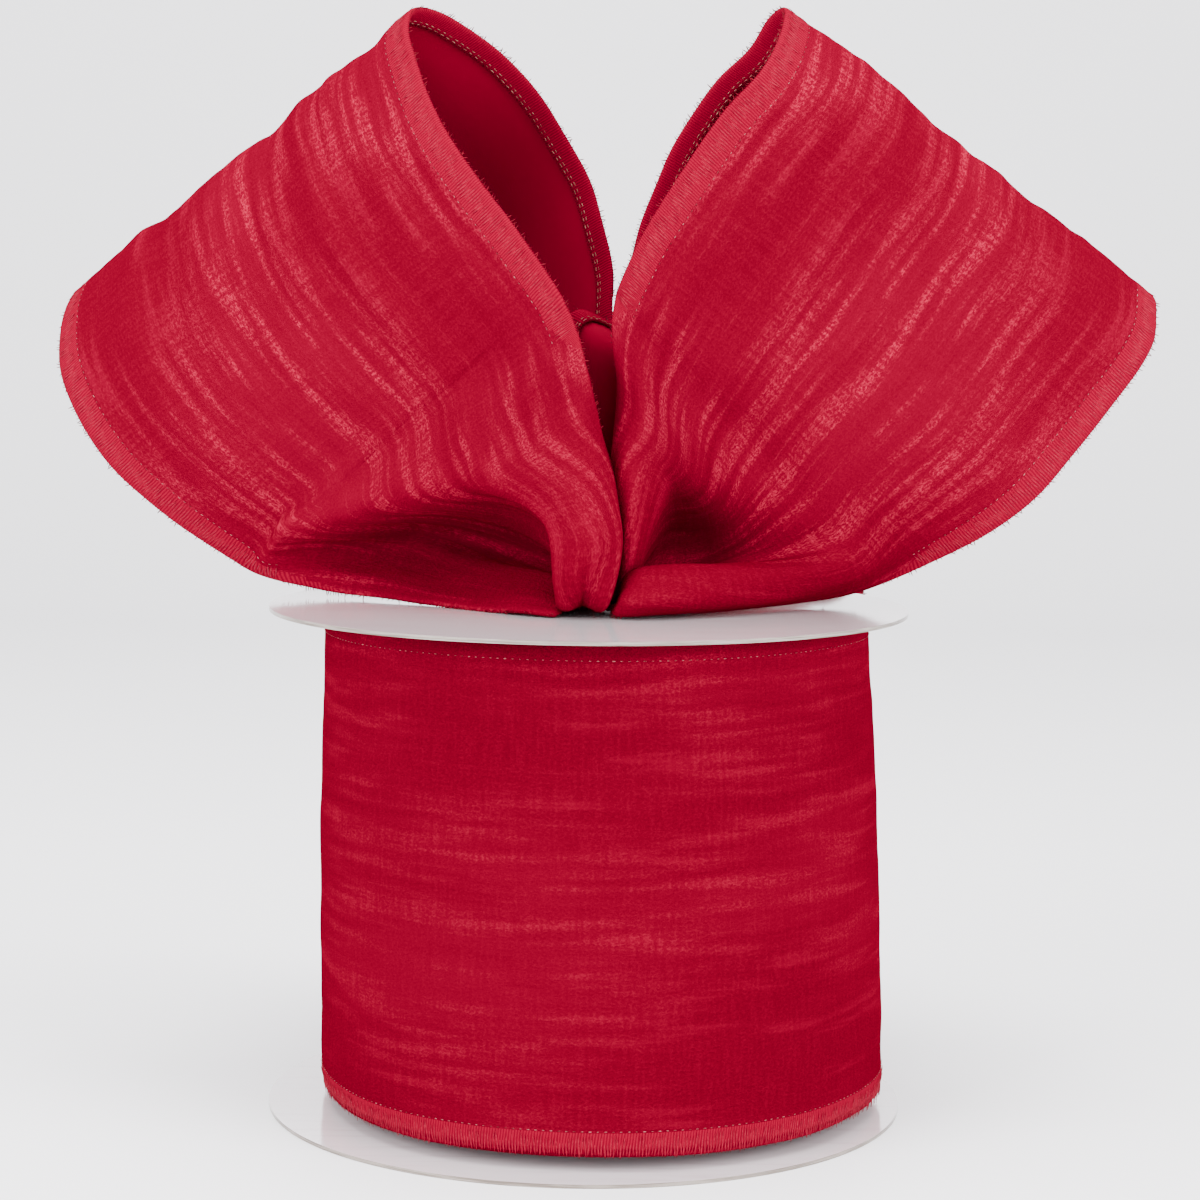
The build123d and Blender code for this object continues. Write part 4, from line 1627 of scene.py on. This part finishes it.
# ---- the roll ---------------------------------------------------------------
@dataclass
class Roll:
    """The wound ribbon: inner turns, the last turn that shows, and its free end.

    Attributes:
        first_radius: Radius of the velvet's back where the winding starts, in millimetres.
        pitch: Growth of the radius in one turn.
        turns: Number of turns.
        end_azimuth: Direction of the end of the last turn, in degrees.
        flap: How far the free end reaches past that, in degrees.
        low: Height of the last turn's lower edge, in millimetres.
        high: Height of its upper edge.
        top_hem: Distance of the upper stitches from the upper edge.
        joint_radius: Radius of the line that the free end bends about. Not used.
    """

    first_radius: float = 22.45
    pitch: float = 1.02
    turns: float = 35.5
    end_azimuth: float = 148.0
    flap: float = 25.0
    low: float = 3.4
    high: float = 103.4
    top_hem: float = 4.6
    joint_radius: float = 58.15

    def radius(self, turn: np.ndarray, azimuth: np.ndarray, height: np.ndarray) -> np.ndarray:
        """Radius of the spiral, a little fuller at the bottom and to the right, and less round outside.

        Args:
            turn: Turns from the core.
            azimuth: Direction, in radians.
            height: Height, in millimetres.

        Returns:
            The radius, in millimetres.
        """
        wound = self.first_radius + (turn - 0.5) * self.pitch
        share = np.clip((wound - self.first_radius) / (self.turns * self.pitch), 0, 1.1) ** 2
        rise = np.clip((height - self.low) / 98.4, 0, 1)
        lean = (3.5 - 2.5 * rise) * np.cos(azimuth)
        fuller = 0.9 - 2.7 * rise + 0.9 * np.sin(math.pi * rise)
        dents = 0.35 * np.sin(3 * azimuth + 1.0) + 0.25 * np.sin(5 * azimuth + 2.2 * rise)
        return wound + share * (lean + fuller + dents)

    def wrap(self, first_turn: float, last_turn: float, low: float, high: float, step: float,
             curled: bool = False) -> Surface:
        """Some turns of the spiral, with the velvet outwards.

        Args:
            first_turn: Turn at which it starts, counted from the core.
            last_turn: Turn at which it ends.
            low: Its lower edge.
            high: Its upper edge.
            step: Degrees between rows.
            curled: Whether its edges bend in towards the core.

        Returns:
            The turns' middle.
        """
        rows = int(round((last_turn - first_turn) * 360 / step)) + 1
        turn = np.linspace(first_turn, last_turn, rows)[:, None]
        height = np.linspace(low, high, 100)[None, :]
        azimuth = np.radians(self.end_azimuth + 360 * (turn - self.turns))
        reach = self.radius(turn, azimuth, height)
        if curled:
            reach = (reach - 0.16 * np.maximum(low + 3.2 - height, 0) ** 2
                     - 0.25 * np.maximum(height - high + 3.0, 0) ** 2)
        grid = np.stack([reach * np.cos(azimuth), reach * np.sin(azimuth), height + 0 * turn], -1)
        return Surface.looking(grid, 0, grid[0, 0] * np.array([1.0, 1.0, 0.0]))

    def dressed(self, name: str, surface: Surface, nodes: tuple[str, str, str, str], rests_on: str,
                seed: int) -> Stretch:
        """A stretch of the roll that shows.

        Args:
            name: Start of its pieces' names.
            surface: The ribbon's middle.
            nodes: CAD nodes that its layers stand for.
            rests_on: The piece that it lies on.
            seed: Seed of its streaks and threads.

        Returns:
            The stretch, ready to build.
        """
        return Stretch(name, surface, nodes, "stretched", (rests_on,), crush=0.14, seed=seed, picots=False,
                       wound=True, hem_last=self.top_hem, hem_from=(OPEN_HEM, HIDDEN_HEM))

    def inner_turns(self, finishes: Finishes) -> None:
        """Make the turns under the last one as one long spiral strip.

        Args:
            finishes: The materials.
        """
        box_low, box_high = (corner[2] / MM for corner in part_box("wound_velvet"))
        surface = self.wrap(0.5, self.turns - 1.02, box_low + 2.6, box_high - 0.1, 4.0)
        # For each layer: skin and back heights, the shares of the width at its edges, finish and slot.
        for name, node, (skin, back), edges, material, slot in (
            ("wound_turns_velvet", "wound_velvet", (0.5, 0.0), (0.0, 1.0), finishes.wound_velvet, "velvet"),
            ("wound_turns_satin", "wound_satin", (-0.05, -0.25), (0.06, 0.94), finishes.satin, "satin"),
        ):
            places = np.linspace(edges[0], edges[1], 7) * CUT.width
            lines = [np.stack([places, np.full(7, height)], 1) for height in (skin, back)]
            piece = swept(name, surface, Profile(*lines, np.zeros(6, int)), [material])
            hand_in(piece, slot, node)
            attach(piece, "spool")
        log.info("inner turns: %.2f m of ribbon", surface.length * MM)

    def outer_turn(self, finishes: Finishes) -> None:
        """Make the last turn, which shows, up to the peeling end.

        Args:
            finishes: The materials.
        """
        surface = self.wrap(self.turns - 1.0, self.turns - 0.02, self.low, self.high, 0.95, True)
        along, across = surface.places()
        depth = 0.22 * crumple(along, across, (85.0, 9.0), 5) + 0.4 * crumple(along, across, (60.0, 30.0), 6)
        rim = np.clip(np.minimum(across, CUT.width - across) / 10.0, 0.3, 1)
        wave = 0.3 * crumple(along, across * 0, (14.0, 1.0), 8) * (1 - rim)
        surface.crease(depth * rim + wave)
        nodes = ("wound_velvet", "wound_satin", "wound_bottom_wire", "wound_top_wire")
        for piece in self.dressed("roll", surface, nodes, "wound_turns_velvet", 21).build(finishes):
            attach(piece, "spool")

    def free_end(self, finishes: Finishes) -> None:
        """Make the free end, which bends away where it leaves the turn below.

        Args:
            finishes: The materials.
        """
        surface = self.wrap(self.turns - 0.018, self.turns + self.flap / 360, self.low, self.high, 0.95, True)
        along, across = surface.places()
        lift = 0.05 * (along / along.max()) ** 2
        surface.crease(lift + 0.25 * crumple(along, across, (50.0, 8.0), 9))
        nodes = ("ribbon_end_velvet", "ribbon_end_satin", "ribbon_end_bottom_wire", "ribbon_end_top_wire")
        for piece in self.dressed("ribbon_end", surface, nodes, "roll_face", 31).build(finishes):
            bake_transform(piece)


# ---- the spool --------------------------------------------------------------
class Spool:
    """The card spool's CAD pieces, which keep their shapes and get their finishes."""

    SLOTS = {
        "bottom_flange": "board",
        "top_flange": "board",
        "core_tube": "core",
        "bottom_glue_ring": "glue",
        "top_glue_ring": "glue",
        "twist_tie": "tie",
    }

    def dress(self, finishes: Finishes) -> None:
        """Give each piece its finish.

        Args:
            finishes: The materials.
        """
        for node, finish in self.SLOTS.items():
            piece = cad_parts[node]
            piece.data.materials.clear()
            piece.data.materials.append(getattr(finishes, finish))
            log.info("%s: %s", node, finish)


# ---- floor, light and camera ------------------------------------------------
@dataclass
class Studio:
    """Pale floor and backdrop, soft lamps and the camera.

    Attributes:
        eye: Place of the camera, in millimetres.
        pitch: How far it looks down, in degrees.
        roll: How far it is tilted to the side, in degrees.
        lens: Its focal length, in millimetres.
        reach: Half the width of the floor, in millimetres.
        bend: Radius of the sweep from the floor up to the backdrop.
    """

    eye: Point = (2.3, -628.0, 169.5)
    pitch: float = 5.8
    roll: float = 0.635
    lens: float = 91.0
    reach: float = 3000.0
    bend: float = 500.0

    def floor(self) -> None:
        """Make the floor and the backdrop as one swept sheet."""
        line = [(-1500.0, 0.0), (900.0, 0.0)]
        line += [(900.0 + self.bend * math.sin(turn), self.bend - self.bend * math.cos(turn))
                 for turn in np.linspace(0.1, math.pi / 2, 12)]
        line += [(900.0 + self.bend, 3000.0)]
        points = [(x, depth, height - 0.05) for depth, height in line for x in (-self.reach, self.reach)]
        faces = [(2 * k, 2 * k + 1, 2 * k + 3, 2 * k + 2) for k in range(len(line) - 1)]
        made = Shader("floor_paper")
        grain = made.noise(made.object_place(), (4.0, 4.0, 4.0), 3.0)
        made.set(Base_Color=made.mix(grain, rgb(0.80, 0.79, 0.81), rgb(0.84, 0.83, 0.85)), Roughness=0.55)
        sheet = new_piece("floor", np.array(points), faces, [made.material])

    def lamp(self, name: str, place: Point, target: Point, size: tuple[float, float], power: float,
             colour: Point = (1.0, 1.0, 1.0)) -> None:
        """Hang one soft lamp.

        Args:
            name: Its name.
            place: Where it hangs, in metres.
            target: What it points at.
            size: Width and height of its diffuser.
            power: Its power in watts.
            colour: Its colour.
        """
        light = bpy.data.lights.new(name, "AREA")
        light.shape, light.size, light.size_y = "RECTANGLE", size[0], size[1]
        light.energy, light.color = power, colour
        lamp = bpy.data.objects.new(name, light)
        bpy.context.scene.collection.objects.link(lamp)
        lamp.location = place
        away = Vector(place) - Vector(target)
        lamp.rotation_euler = away.to_track_quat("Z", "Y").to_euler()

    def light(self) -> None:
        """Set the lamps and the even light from all round."""
        aim = (0.0, 0.0, 0.12)
        self.lamp("left_box", (-0.85, -0.75, 0.55), aim, (0.7, 0.9), 34.0)
        self.lamp("right_box", (0.9, -0.65, 0.50), aim, (0.7, 0.9), 30.0)
        self.lamp("top_box", (0.0, -0.1, 1.15), aim, (1.0, 0.8), 32.0)
        self.lamp("front_fill", (0.0, -1.5, 0.45), aim, (1.2, 0.6), 12.0)
        world = bpy.data.worlds.new("studio")
        bpy.context.scene.world = world
        world.use_nodes = True
        background = world.node_tree.nodes["Background"]
        background.inputs[0].default_value = rgb(0.93, 0.94, 0.96)
        background.inputs[1].default_value = 1.5

    def camera(self) -> None:
        """Set the camera."""
        data = bpy.data.cameras.new("camera")
        data.lens, data.sensor_width = self.lens, 36.0
        data.clip_start, data.clip_end = 0.01, 20.0
        camera = bpy.data.objects.new("camera", data)
        bpy.context.scene.collection.objects.link(camera)
        camera.location = [value * MM for value in self.eye]
        tilt = Matrix.Rotation(math.radians(90 - self.pitch), 3, "X")
        camera.rotation_euler = (tilt @ Matrix.Rotation(math.radians(self.roll), 3, "Z")).to_euler()
        bpy.context.scene.camera = camera


def main() -> None:
    """Build every sub-assembly in order."""
    logging.basicConfig(level=logging.INFO, format="%(name)s: %(message)s")
    studio = Studio()
    studio.camera()
    studio.floor()
    studio.light()
    finishes = Finishes()
    Spool().dress(finishes)
    roll = Roll()
    roll.inner_turns(finishes)
    roll.outer_turn(finishes)
    roll.free_end(finishes)
    bow = Bow()
    bow.gather(finishes)
    bow.tail(finishes)
    for side in Side:
        bow.loop(side, finishes)


if __name__ == "__main__":
    main()
